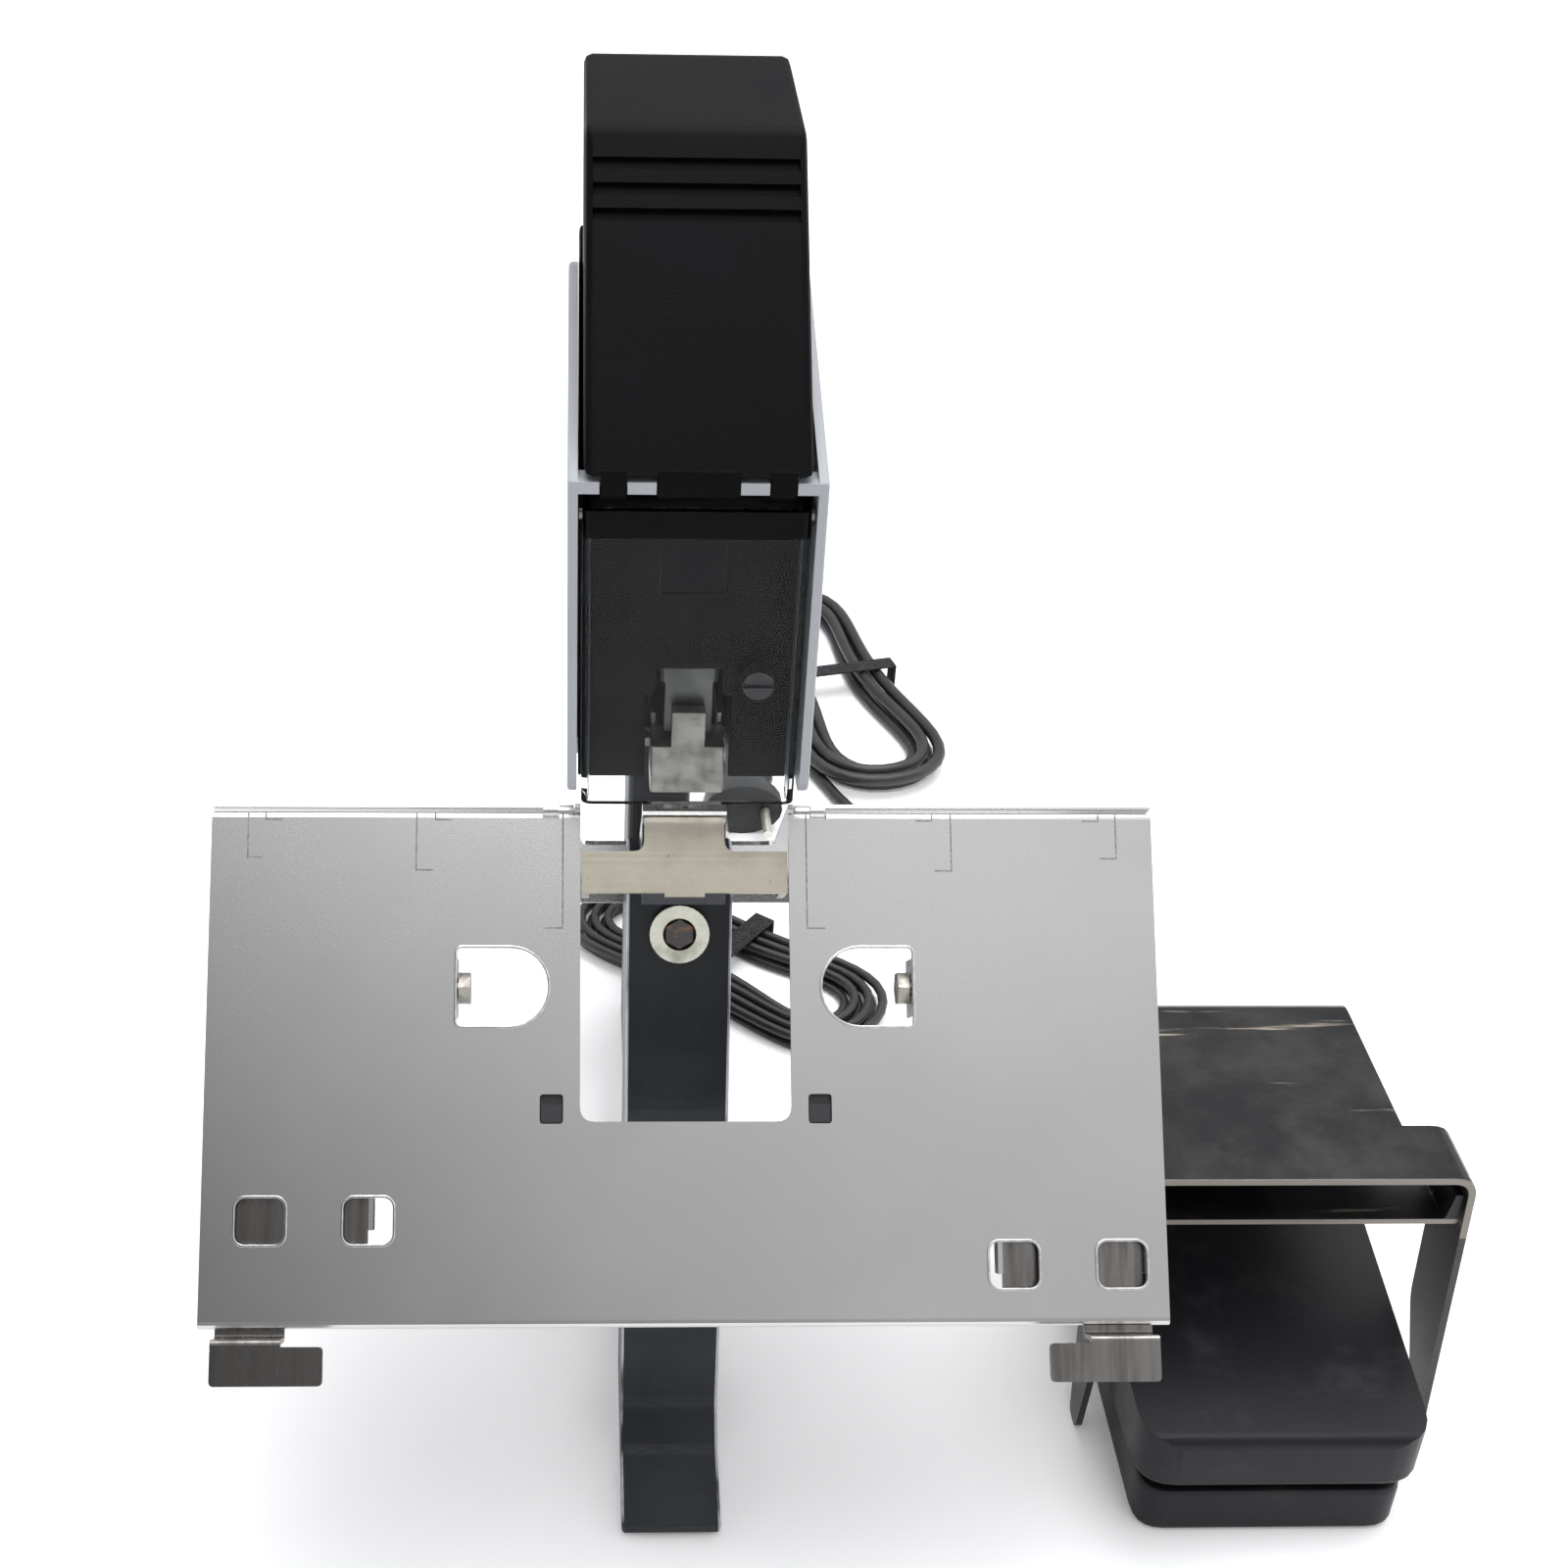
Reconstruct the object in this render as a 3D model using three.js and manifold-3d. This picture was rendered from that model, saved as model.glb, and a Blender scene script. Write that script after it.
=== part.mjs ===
// Electric stapler for flat sheets and folded booklets, with a foot pedal.
// Millimetres, +Z up, +X right and +Y away from the operator.
// The origin lies on the floor, straight below the middle of the saddle ridge.
import * as THREE from 'three';
import { mergeGeometries, mergeVertices } from 'three/addons/utils/BufferGeometryUtils.js';
import Module from 'manifold-3d';

const wasm = await Module();
wasm.setup();

// Driving dimensions of the whole machine
const ridgeHeight = 215;
const slopeAngle = THREE.MathUtils.degToRad(48);
const seat = 0.3;
const overrun = 5;
const softEdge = 0.8;
const leastStep = 0.01;

// Stand
const columnWidth = 29;
const columnWall = 3;
const columnEdge = 1;
const padHeight = 2;
const padInset = 3;
const toeReach = 62;
const toeHeight = 2.5;
const anvilDepth = 24;
const anvilBaseHeight = ridgeHeight - anvilDepth;
const columnFrontTop = 9.8;
const columnFrontMiddle = -16;
const columnUpperRun = 72;
const columnMiddleHeight = anvilBaseHeight - columnUpperRun;
const columnRoundings = [0, 60, 60, 12, 12, 0, 0, 0, 40, 60, 4, 0, 0];
const columnFrontLow = -24.5;
const columnLowHeight = 41;
const columnAnkle = -29;
const columnAnkleHeight = 18;
const instepReach = 37;
const instepHeight = 10.5;
const columnBackTop = 38;
const columnBackMiddle = 14;
const columnBackRise = 41;
const columnBackFall = 15;
const columnBackFoot = 4;
const railWidth = 21;
const railHeight = 14;
const railWall = 2.5;
const postFront = 142;
const postBack = 186;
const postWall = 3;
const crossLength = 140;
const crossDepth = 40;
const crossThickness = 8;
const crossMiddle = 60;
const crossCorner = 10;
const footPadLength = 22;
const footPadInset = 12;
const footPadCorner = 4;

// Anvil and the nickel plate that carries it
const bracketThickness = 2;
const bracketTabWidth = 21;
const bracketTabTop = 3.5;
const bracketBarTop = 12.5;
const bracketBarBottom = 23.5;
const bracketFillet = 3;
const bracketEndReturn = 10;
const anvilWidth = 22;
const anvilNibHalf = 2.6;
const anvilTopDrop = 0.8;
const anvilFrontReach = 12;
const anvilBackReach = 16;
const clinchWidth = 5;
const clinchDepth = 0.9;
const clinchSpread = 6.5;
const boltDown = 44;
const washerRadius = 8.2;
const washerThickness = 1.8;
const washerBore = 4.6;
const boltHeadRadius = 4.2;
const boltShankRadius = 3;
const boltLength = 14;

// Saddle table
const plateWidth = 246;
const plateThickness = 1.2;
const frontPlateLength = 134;
const rearPlateLength = 95;
const lipDepth = 6;
const lipBend = 2;
const topLipDepth = 3.6;
const topLipBend = 1.6;
const slotHalf = 27.2;
const slotLength = 82.5;
const slotCorner = 4;
const thumbHoleInner = 35.5;
const thumbHoleOuter = 59;
const thumbHoleTop = 38;
const thumbHoleBottom = 58;
const earDepth = 11;
const catchHoleInner = 31.5;
const catchHoleWidth = 6;
const catchHoleTop = 75.5;
const catchHoleLength = 7.5;
const catchThickness = 5;
const stopHoleWidth = 12.5;
const stopHoleLength = 11.5;
const stopHoleCorner = 2.5;
const leftStopHoleTop = 101.5;
const rightStopHoleTop = 113;
const leftStopHoles = [74.5, 101.8];
const rightStopHoles = [77.3, 105];
const rearWindowLength = 41;
const hingeOffset = 2.6;
const frontPlateSetback = 2.3;
const rearPlateSetback = 0.3;
const hingeInner = 29;
const knuckleLength = 3.8;
const knuckleRadius = 1.7;
const knuckleBore = 1;
const hingePinRadius = 0.75;
const earBoltRadius = 2.5;
const earBoltHead = 4.6;
const earBoltHeadHeight = 3;
const stopLipWidth = 28;
const stopNeckWidth = 17.5;
const stopLipLength = 9.5;
const stopRise = 5;
const stopOuter = 119;
const stopThickness = 1.2;
const stopArmDrop = 2.6;
const stopArmWidth = 36;
const stopArmStart = 96;
const stopArmEnd = 126;
const stopTravel = 20;
const stopReach = 2;

// Head
const headHalf = 30.8;
const sideRoundings = [5, 0, 10, 30, 6, 5, 5, 24, 1.2];
const sideWall = 2.5;
const headFront = -12;
const throatHeight = 8;
const headFloor = ridgeHeight + throatHeight;
const windowHeight = 89;
const bezelHeight = headFloor + windowHeight;
const shoulderReach = 62;
const shoulderRise = 27;
const shoulderHeight = bezelHeight + shoulderRise;
const headBack = 215;
const shoulderFall = 53;
const headBackHeight = shoulderHeight - shoulderFall;
const postRise = 10;
const postTop = headBackHeight + postRise;
const backDrop = 93;
const headBackFloor = headFloor - backDrop;
const chinReach = 16;
const bellyReach = 54;
const bellyBack = 138;
const bellyBackRise = 46;
const bellyBackHeight = headBackFloor + bellyBackRise;
const bellyDropReach = 160;
const ledgeDepth = 7;
const ledgeThickness = 3;
const coverHalf = 27;
const coverWall = 2.4;
const coverLift = 1.5;
const coverSill = 9;
const coverRise = 65;
const coverFrontRise = bezelHeight + coverRise;
const coverFrontReach = 50;
const coverTopBack = 107;
const coverRoofRise = 4;
const coverTopHeight = coverFrontRise + coverRoofRise;
const coverBackDrop = 17;
const coverBackFloor = shoulderHeight - coverBackDrop;
const coverEdge = 2.2;
const coverRoundings = [0, 0, 0, 0, 5, 6];
const rearRoundings = [0, 4, 9, 0];
const coverSkirt = 5;
const grooveCount = 3;
const grooveWidth = 50;
const groovePitch = 6.6;
const grooveHeight = 2.6;
const grooveDepth = 1.4;
const firstGrooveFromTop = 8;
const rearCoverHalf = 27.9;
const rearCoverGap = 2.5;
const rearCoverFront = coverTopBack + rearCoverGap;
const rearCoverStep = 6;
const rearCoverFrontHeight = shoulderHeight - rearCoverStep;
const rearCoverCrown = 11;
const rearCoverBackHeight = headBackHeight + rearCoverCrown;
const rearCoverBack = 213.8;
const rearCoverLift = 4;
const rearCoverFloor = headBackFloor + rearCoverLift;
const ventCount = 5;
const ventWidth = 34;
const ventHeight = 2.4;
const ventPitch = 6;
const ventDrop = 50;
const ventTop = headBackHeight - ventDrop;
const guardHalf = 27.3;
const guardWall = 1.8;
const guardCorner = 3;
const guardFront = -12;
const guardDepth = 9;
const guardTuck = 0.5;
const guardBottom = headFloor - guardTuck;
const guardDrop = 7.4;
const guardTop = bezelHeight - guardDrop;
const guardPinDrop = 2.6;
const guardPinHeight = guardTop - guardPinDrop;
const guardPinBack = 4.1;
const guardPinRadius = 1.4;
const frameFront = -1.6;
const frameThickness = 2.4;
const frameDrop = 7;
const frameTop = bezelHeight - frameDrop;
const frameLift = 26;
const frameBottom = headFloor + frameLift;
const panelHalf = 8;
const panelHeight = 12.5;
const panelDrop = 15;

// Stapling mechanism inside the head
const chassisHalf = 23;
const chassisWall = 1.6;
const chassisFront = 18;
const chassisLift = 3;
const chassisFloor = headFloor + chassisLift;
const chassisHeight = 42.5;
const chassisBack = 190;
const magazineHalf = 9;
const magazineWall = 1;
const magazineLift = 5;
const magazineFloor = headFloor + magazineLift;
const magazineHeight = 11;
const magazineFront = 6.4;
const magazineBack = 136;
const stapleHalf = 6.4;
const stapleHeight = 7;
const stapleFront = 7;
const stapleLength = 60;
const pusherLength = 14;
const pusherTravel = 48;
const springWire = 0.9;
const pusherCoilRadius = 2.6;
const pusherCoilTurns = 14;
const noseHalf = 9.4;
const noseFront = -5.6;
const noseGap = 7;
const noseBottom = ridgeHeight + noseGap;
const noseHeight = 14;
const noseTop = noseBottom + noseHeight;
const noseTowerHalf = 4.2;
const noseTowerRise = 10;
const noseTowerTop = noseTop + noseTowerRise;
const bladeHalf = 6;
const bladeThickness = 1.2;
const bladeFront = -0.6;
const bladeLift = 1.5;
const bladeBottom = noseTop + bladeLift;
const bladeSlotHalf = 6.4;
const bladeSlotClearance = 0.4;
const carrierLift = 16;
const carrierHeight = noseTop + carrierLift;
const carrierThickness = 4;
const carrierHalf = 8;
const driverTravel = 12;
const plungerRadius = 6;
const plungerMiddle = 56;
const plungerCapRadius = 9.6;
const plungerCapHeight = 3;
const coilRadius = 19;
const coilBore = 6.6;
const coilFlange = 2;
const coilFlangeRadius = 20.5;
const yokeWall = 2.5;
const yokeHalf = 14;
const yokeReach = 21.3;
const yokeFoot = chassisFloor + chassisHeight + yokeWall;
const coilLift = 3;
const coilBottom = yokeFoot + coilLift;
const coilLength = 44;
const coilTop = coilBottom + coilLength;
const plungerProud = 28;
const plungerTop = coilTop + plungerProud;
const returnCoilRadius = 8;
const returnCoilTurns = 6;
const boardHalf = 20;
const boardThickness = 1.6;
const boardPlace = 197;
const boardLift = 76;
const boardFloor = headBackFloor + boardLift;
const boardLength = 62;
const boardTop = boardFloor + boardLength;
const pegRadius = 2;
const pegInset = 4;
const relayWidth = 14;
const relayHeight = 12;
const capacitorRadius = 5;
const knobRadius = 4;
const knobLength = 5;
const knobAcross = 17;
const knobLift = 5.6;
const knobHeight = frameBottom + knobLift;
const knobSlot = 1.2;
const knobSpindleRadius = 1.6;
const switchWidth = 15;
const switchHeight = 21;
const switchDepth = 12;
const switchDrop = 24;
const switchMiddle = headBackHeight - switchDrop;
const switchBezel = 2;
const rockerTilt = THREE.MathUtils.degToRad(8);
const rockerProud = 2.2;

// Foot pedal beside the machine
const pedalMiddle = 175;
const pedalBaseWidth = 78;
const pedalBaseFront = -61.5;
const pedalBaseBack = 58;
const pedalBaseHeight = 17.5;
const pedalCorner = 9;
const pedalEdge = 2.5;
const pedalRib = 2;
const treadleWidth = 86;
const treadleFront = -64;
const treadleBack = 50;
const treadleFrontHeight = 41;
const treadleBackHeight = 52;
const treadleSkirt = 21.8;
const treadleCorner = 12;
const treadleFlare = 1.5;
const treadleRoundings = [1, 1, 8, 4];
const treadleWall = 3;
const pedalPinHeight = 27;
const pedalPinBack = 42;
const pedalPinRadius = 2;
const pedalPinBore = 2.4;
const pedalEarThickness = 5;
const pedalEarHalf = 30;
const pedalTravel = THREE.MathUtils.degToRad(2);
const pedalSpringRadius = 6;
const pedalSpringWire = 1.2;
const pedalSpringTurns = 5;
const pedalSpringPlace = -10;
const microswitchSize = new THREE.Vector3(20, 12, 9);
const microswitchButton = 1.5;
const hoodWidth = 109;
const hoodLeft = 126;
const hoodTop = 103;
const hoodFront = -23;
const hoodBand = 23;
const hoodSheet = 2;
const hoodBend = 7;
const hoodTipWidth = 8;
const hoodTipLead = 4;
const hoodTipRound = 3;
const hoodTaperRound = 20;
const hoodSplay = 6;
const hoodPanelHalf = 39;
const shelfDrop = 17;
const shelfEdge = 9;

// Cords
const mainsDiameter = 5.5;
const loopDiameter = 3.7;
const cordSides = 8;
const hankSides = 6;
const hankLoopSteps = 24;
const hankStart = THREE.MathUtils.degToRad(40);
const hankLengthShare = 14.2;
const hankEndPitchShare = 1.46;
const hankWaistShare = 2.2;
const hankSidePitchShare = 1.39;
const hankLobeShare = 5.15;
const hankLobePitchShare = 0.43;
const hankClimbShare = 0.25;
const hankLayerShare = 1.12;
const tieThickness = 1;
const tieWidth = 9;
const glandNeck = 5;
const glandFlange = 6.5;
const glandFlangeThickness = 2;
const glandWall = 2.4;
const glandTipWall = 0.9;
const glandRib = 0.8;
const glandRibShare = 0.6;
const mainsGlandHeight = 34;
const pedalGlandHeight = 17;
const mainsTaper = 28;
const pedalTaper = 18;
const pedalLeadHeight = 8;
const pedalLeadTaper = 14;
const plugRadius = 17;
const plugLength = 44;
const plugFlatShare = 0.72;
const plugPlace = [44, 350];
const mainsHankHalfTurns = 2;
const mainsHankMiddle = [92, 427];
const mainsHankHeading = THREE.MathUtils.degToRad(-76);
const pedalHankHalfTurns = 3;
const pedalHankMiddle = [31, 210];
const pedalHankHeading = THREE.MathUtils.degToRad(-38);
const pinRadius = 2;
const pinLength = 19;
const pinSpread = 18.6;

// Paints, platings and mouldings as three.js materials
const materialOf = (color, roughness, metalness) =>
  new THREE.MeshStandardMaterial({ color, roughness, metalness });
const satinSteel = () => materialOf(0xb9b7b4, 0.34, 1);
const nickelPlate = () => materialOf(0xb4ab9b, 0.32, 1);
const brightSteel = () => materialOf(0xc9c9c6, 0.22, 1);
const millSteel = () => materialOf(0x4d4a48, 0.45, 1);
const blackPaint = () => materialOf(0x15171a, 0.42, 0.2);
const blackPlastic = () => materialOf(0x0f1114, 0.55, 0);
const greyPlastic = () => materialOf(0xa9adb3, 0.5, 0);
const clearPlastic = () => materialOf(0xdfe4e6, 0.1, 0);
const blackRubber = () => materialOf(0x121212, 0.9, 0);
const blackCord = () => materialOf(0x0e0f10, 0.6, 0);
const copperWire = () => materialOf(0x9a5a2c, 0.4, 0.8);
const boardGreen = () => materialOf(0x1f4a33, 0.6, 0);

// The axes of a profile: its own x and y, then the way it is extruded
const acrossX = new THREE.Matrix4().makeBasis(
  new THREE.Vector3(0, 1, 0),
  new THREE.Vector3(0, 0, 1),
  new THREE.Vector3(1, 0, 0),
);
const alongDepth = new THREE.Matrix4().makeBasis(
  new THREE.Vector3(1, 0, 0),
  new THREE.Vector3(0, 0, 1),
  new THREE.Vector3(0, -1, 0),
);

// A closed mesh becomes a solid that can be joined and cut
function solidOf(geometry) {
  const bare = geometry.index ? geometry.toNonIndexed() : geometry.clone();
  for (const name of Object.keys(bare.attributes)) {
    if (name !== 'position') bare.deleteAttribute(name);
  }
  const merged = mergeVertices(bare, 1e-4);
  return new wasm.Manifold(new wasm.Mesh({
    numProp: 3,
    vertProperties: merged.attributes.position.array,
    triVerts: new Uint32Array(merged.index.array),
  }));
}

// A solid becomes a geometry again
function geometryOf(solid) {
  const mesh = solid.getMesh();
  const geometry = new THREE.BufferGeometry();
  const places = new THREE.BufferAttribute(new Float32Array(mesh.vertProperties), 3);
  geometry.setAttribute('position', places);
  geometry.setIndex(new THREE.BufferAttribute(new Uint32Array(mesh.triVerts), 1));
  return geometry;
}

const cut = (body, ...tools) => tools.reduce((rest, tool) => rest.subtract(tool), body);
const join = (body, ...others) => others.reduce((sum, other) => sum.add(other), body);

// A loop of points without repeated points or points on a straight line
function tidyLoop(points) {
  const apart = points.filter((point, index) =>
    point.distanceTo(points[(index + 1) % points.length]) > leastStep);
  return apart.filter((point, index) => {
    const before = apart[(index + apart.length - 1) % apart.length];
    const after = apart[(index + 1) % apart.length];
    const base = after.clone().sub(before);
    return Math.abs(base.cross(point.clone().sub(before))) > leastStep * base.length() / 10;
  });
}
function tidyShape(shape, curveSegments) {
  const loops = shape.extractPoints(curveSegments);
  const tidy = new THREE.Shape(tidyLoop(loops.shape));
  tidy.holes = loops.holes.map((hole) => new THREE.Path(tidyLoop(hole)));
  return tidy;
}

// A straight prism of a shape, its ends rounded over by edge
function prismGeometry(rawShape, length, edge = 0, curveSegments = 5) {
  const shape = tidyShape(rawShape, curveSegments);
  const geometry = new THREE.ExtrudeGeometry(shape, {
    depth: length - 2 * edge,
    bevelEnabled: edge > 0,
    bevelThickness: edge,
    bevelSize: edge,
    bevelOffset: -edge,
    bevelSegments: 2,
    curveSegments,
  });
  return geometry.translate(0, 0, edge);
}

// The same prism as a solid: across the machine, along its depth, or upright
function prismX(shape, left, right, edge, curveSegments) {
  const geometry = prismGeometry(shape, right - left, edge, curveSegments);
  return solidOf(geometry.applyMatrix4(acrossX).translate(left, 0, 0));
}
function prismY(shape, front, back, edge, curveSegments) {
  const geometry = prismGeometry(shape, back - front, edge, curveSegments);
  return solidOf(geometry.applyMatrix4(alongDepth).translate(0, back, 0));
}
function prismZ(shape, bottom, top, edge, curveSegments) {
  return solidOf(prismGeometry(shape, top - bottom, edge, curveSegments).translate(0, 0, bottom));
}

// A block between two corners
function block(left, right, front, back, bottom, top) {
  const geometry = new THREE.BoxGeometry(right - left, back - front, top - bottom);
  return solidOf(geometry.translate((left + right) / 2, (front + back) / 2, (bottom + top) / 2));
}

// A round bar along an axis of the machine, from start over length
function bar(axis, radius, start, length, sides = 16) {
  const geometry = new THREE.CylinderGeometry(radius, radius, length, sides);
  geometry.translate(0, length / 2, 0);
  if (axis === 'x') geometry.rotateZ(-Math.PI / 2);
  if (axis === 'z') geometry.rotateX(Math.PI / 2);
  return solidOf(geometry.translate(...start));
}

// A plain outline through corners, and one with each corner rounded by its radius
function outline(points) {
  return new THREE.Shape(points.map(([x, y]) => new THREE.Vector2(x, y)));
}
function roundedOutline(points, radii) {
  const corners = points.map(([x, y]) => new THREE.Vector2(x, y));
  const shape = new THREE.Shape();
  corners.forEach((corner, index) => {
    const before = corners[(index + corners.length - 1) % corners.length];
    const after = corners[(index + 1) % corners.length];
    const radius = Array.isArray(radii) ? radii[index] : radii;
    const inward = before.clone().sub(corner).normalize();
    const onward = after.clone().sub(corner).normalize();
    const angle = Math.acos(THREE.MathUtils.clamp(inward.dot(onward), -1, 1));
    const setback = Math.min(
      radius / Math.tan(angle / 2),
      before.distanceTo(corner) / 2,
      after.distanceTo(corner) / 2,
    );
    const start = corner.clone().addScaledVector(inward, setback);
    const end = corner.clone().addScaledVector(onward, setback);
    if (index === 0) shape.moveTo(start.x, start.y);
    else shape.lineTo(start.x, start.y);
    if (radius > 0) shape.quadraticCurveTo(corner.x, corner.y, end.x, end.y);
  });
  shape.closePath();
  return shape;
}
function rectangle(left, right, low, high, radius = 0) {
  const corners = [[left, low], [right, low], [right, high], [left, high]];
  return radius > 0 ? roundedOutline(corners, radius) : outline(corners);
}

// Named meshes of the finished group
const group = new THREE.Group();
const slopeGroup = new THREE.Group();
slopeGroup.rotation.x = slopeAngle;
slopeGroup.position.z = ridgeHeight;
group.add(slopeGroup);

function piece(name, solid, material, parent = group) {
  const geometry = solid.isBufferGeometry ? solid : geometryOf(solid);
  const mesh = new THREE.Mesh(geometry, material);
  mesh.name = name;
  parent.add(mesh);
  return mesh;
}

// Height of a plane that lies parallel to the table plates, depth below their faces
const tanSlope = Math.tan(slopeAngle);
const cosSlope = Math.cos(slopeAngle);
const underSlope = (reach, depth) => ridgeHeight - reach * tanSlope - depth / cosSlope;

// Stand: a steel channel leans back under the anvil, bends upright and ends in a flat toe
const columnHalf = columnWidth / 2;
const columnTop = anvilBaseHeight - seat;
const tablePlane = plateThickness + seat;
const columnBackTopHeight = columnMiddleHeight + columnBackRise;
const columnBackMiddleHeight = columnMiddleHeight - columnBackFall;
const columnCrest = (ridgeHeight - columnTop - tablePlane / cosSlope) / tanSlope;

function makeFrontColumn() {
  const front = [
    [columnFrontTop, columnTop],
    [columnFrontMiddle, columnMiddleHeight],
    [columnFrontLow, columnLowHeight],
    [columnAnkle, columnAnkleHeight],
    [-instepReach, instepHeight],
    [-toeReach, padHeight + toeHeight],
    [-toeReach, padHeight],
  ];
  const back = [
    [columnBackFoot, padHeight],
    [columnBackFoot, columnLowHeight],
    [columnBackMiddle, columnBackMiddleHeight],
    [columnBackTop, columnBackTopHeight],
    [columnBackTop, underSlope(columnBackTop, tablePlane)],
    [columnCrest, columnTop],
  ];
  const outer = prismX(
    roundedOutline([...front, ...back], columnRoundings), -columnHalf, columnHalf, columnEdge, 4,
  );
  const open = columnBackTop + overrun;
  const inside = outline([
    [columnFrontTop + columnWall, columnTop - columnWall],
    [columnFrontMiddle + columnWall, columnMiddleHeight],
    [columnFrontLow + columnWall, columnLowHeight],
    [columnAnkle + columnWall, columnAnkleHeight],
    [open, columnAnkleHeight],
    [open, underSlope(open, tablePlane + columnWall)],
    [columnCrest - columnWall / 2, columnTop - columnWall],
  ]);
  const hollow = prismX(inside, -columnHalf + columnWall, columnHalf - columnWall);
  return cut(outer, hollow, boltHole(boltShankRadius + seat));
}

// The clamp bolt goes square through the leaning front of the column
const columnLean = Math.atan2(
  columnFrontTop - columnFrontMiddle, columnTop - columnMiddleHeight,
);
function boltPoint(outward) {
  const down = (boltDown - (ridgeHeight - columnTop)) / (columnTop - columnMiddleHeight);
  const reach = columnFrontTop + (columnFrontMiddle - columnFrontTop) * down;
  const height = columnTop - (columnTop - columnMiddleHeight) * down;
  return [0, reach - outward * Math.cos(columnLean), height + outward * Math.sin(columnLean)];
}
function boltBar(radius, inner, outer, sides) {
  const geometry = new THREE.CylinderGeometry(radius, radius, outer - inner, sides);
  geometry.rotateX(-columnLean);
  return solidOf(geometry.translate(...boltPoint((inner + outer) / 2)));
}
const boltHole = (radius) => boltBar(radius, -columnWall - overrun, overrun, 16);

const railTop = padHeight + crossThickness + seat + railHeight;
function makeBaseRail() {
  const low = railTop - railHeight;
  const section = cut(
    prismY(rectangle(-railWidth / 2, railWidth / 2, low, railTop, 2),
      columnBackFoot + seat, postFront - seat, 0, 3),
    block(-railWidth / 2 + railWall, railWidth / 2 - railWall, 0, postBack,
      low - overrun, railTop - railWall),
  );
  return section;
}

function makeRearPost() {
  const tube = rectangle(-railWidth / 2, railWidth / 2, postFront, postBack, 3);
  const bore = rectangle(
    -railWidth / 2 + postWall, railWidth / 2 - postWall,
    postFront + postWall, postBack - postWall, 1,
  );
  tube.holes.push(bore);
  const glandHoles = [mainsGlandHeight, pedalGlandHeight].map((height) =>
    bar('y', glandNeck + seat, [0, postBack - postWall - overrun, height], postWall + 2 * overrun));
  return cut(prismZ(tube, padHeight, postTop, 0, 4), ...glandHoles);
}

function makeCrossFoot() {
  const plan = rectangle(
    -crossLength / 2, crossLength / 2,
    crossMiddle - crossDepth / 2, crossMiddle + crossDepth / 2, crossCorner,
  );
  return prismZ(plan, padHeight, padHeight + crossThickness, softEdge, 5);
}

function makeFootPad(acrossMiddle, front, back) {
  const half = railWidth / 2 - padInset / 2;
  const plan = rectangle(acrossMiddle - half, acrossMiddle + half, front, back, footPadCorner);
  return prismZ(plan, 0, padHeight - seat, 0, 4);
}

// Anvil: a narrow nib on the ridge with two clinching grooves, on a block under both slopes
const anvilTop = ridgeHeight - anvilTopDrop;
const bracketDepth = plateThickness + bracketThickness;
function makeAnvilBlock() {
  const under = bracketDepth + seat;
  const half = anvilWidth / 2;
  const tabEnd = bracketTabTop - seat;
  const neckFront = under * Math.sin(slopeAngle) - tabEnd * cosSlope;
  const neckTop = underSlope(-neckFront, under);
  const profile = outline([
    [-anvilNibHalf, anvilTop],
    [-anvilNibHalf, neckTop + (anvilNibHalf + neckFront) / tanSlope],
    [neckFront, neckTop],
    [-anvilFrontReach, underSlope(anvilFrontReach, under)],
    [-anvilFrontReach, anvilBaseHeight],
    [anvilBackReach, anvilBaseHeight],
    [anvilBackReach, underSlope(anvilBackReach, tablePlane)],
    [anvilNibHalf, underSlope(anvilNibHalf, tablePlane)],
    [anvilNibHalf, anvilTop],
  ]);
  const grooves = [-1, 1].map((side) => {
    const middle = side * clinchSpread / 2;
    const ellipse = new THREE.Shape();
    ellipse.absellipse(middle, anvilTop, clinchWidth / 2, clinchDepth, 0, 2 * Math.PI);
    return prismY(ellipse, -clinchWidth / 4, clinchWidth / 4, 0, 6);
  });
  return cut(prismX(profile, -half, half), ...grooves);
}

// Bracket: a nickel T-plate in the slope of the table, its bar ends turned back
function makeAnvilBracket() {
  const half = slotHalf - seat;
  const tab = bracketTabWidth / 2;
  const tee = roundedOutline([
    [-half, -bracketBarBottom],
    [half, -bracketBarBottom],
    [half, -bracketBarTop],
    [tab, -bracketBarTop],
    [tab, -bracketTabTop],
    [-tab, -bracketTabTop],
    [-tab, -bracketBarTop],
    [-half, -bracketBarTop],
  ], [0, 0, 1, bracketFillet, 1, 1, bracketFillet, 1]);
  const face = prismZ(tee, -bracketDepth, -plateThickness, 0, 4);
  const ends = [-1, 1].map((side) => block(
    Math.min(side * half, side * (half - bracketThickness)),
    Math.max(side * half, side * (half - bracketThickness)),
    -bracketBarBottom, -bracketBarTop,
    -bracketDepth - bracketEndReturn, -plateThickness,
  ));
  const foot = block(-tab / 2, tab / 2, -bracketBarBottom - bracketThickness / 2,
    -bracketBarTop, -bracketDepth, -plateThickness);
  return join(face, ...ends, foot);
}

// Clamp bolt: a plated washer with a deep seat and a round-headed bolt in it
function makeColumnWasher() {
  const height = washerThickness;
  const ring = boltBar(washerRadius, seat, seat + height, 28);
  return cut(ring, boltBar(washerBore, 0, height + overrun, 24));
}
function makeColumnBolt() {
  const head = boltBar(boltHeadRadius, seat, washerThickness, 6);
  return join(head, boltBar(boltShankRadius, -boltLength, 2 * seat, 16));
}

// Saddle table: two satin sheets meet at the ridge on small knuckle hinges
const hingeAcross = -hingeOffset * Math.sin(slopeAngle);
const hingeDeep = -hingeOffset * Math.cos(slopeAngle);

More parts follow.
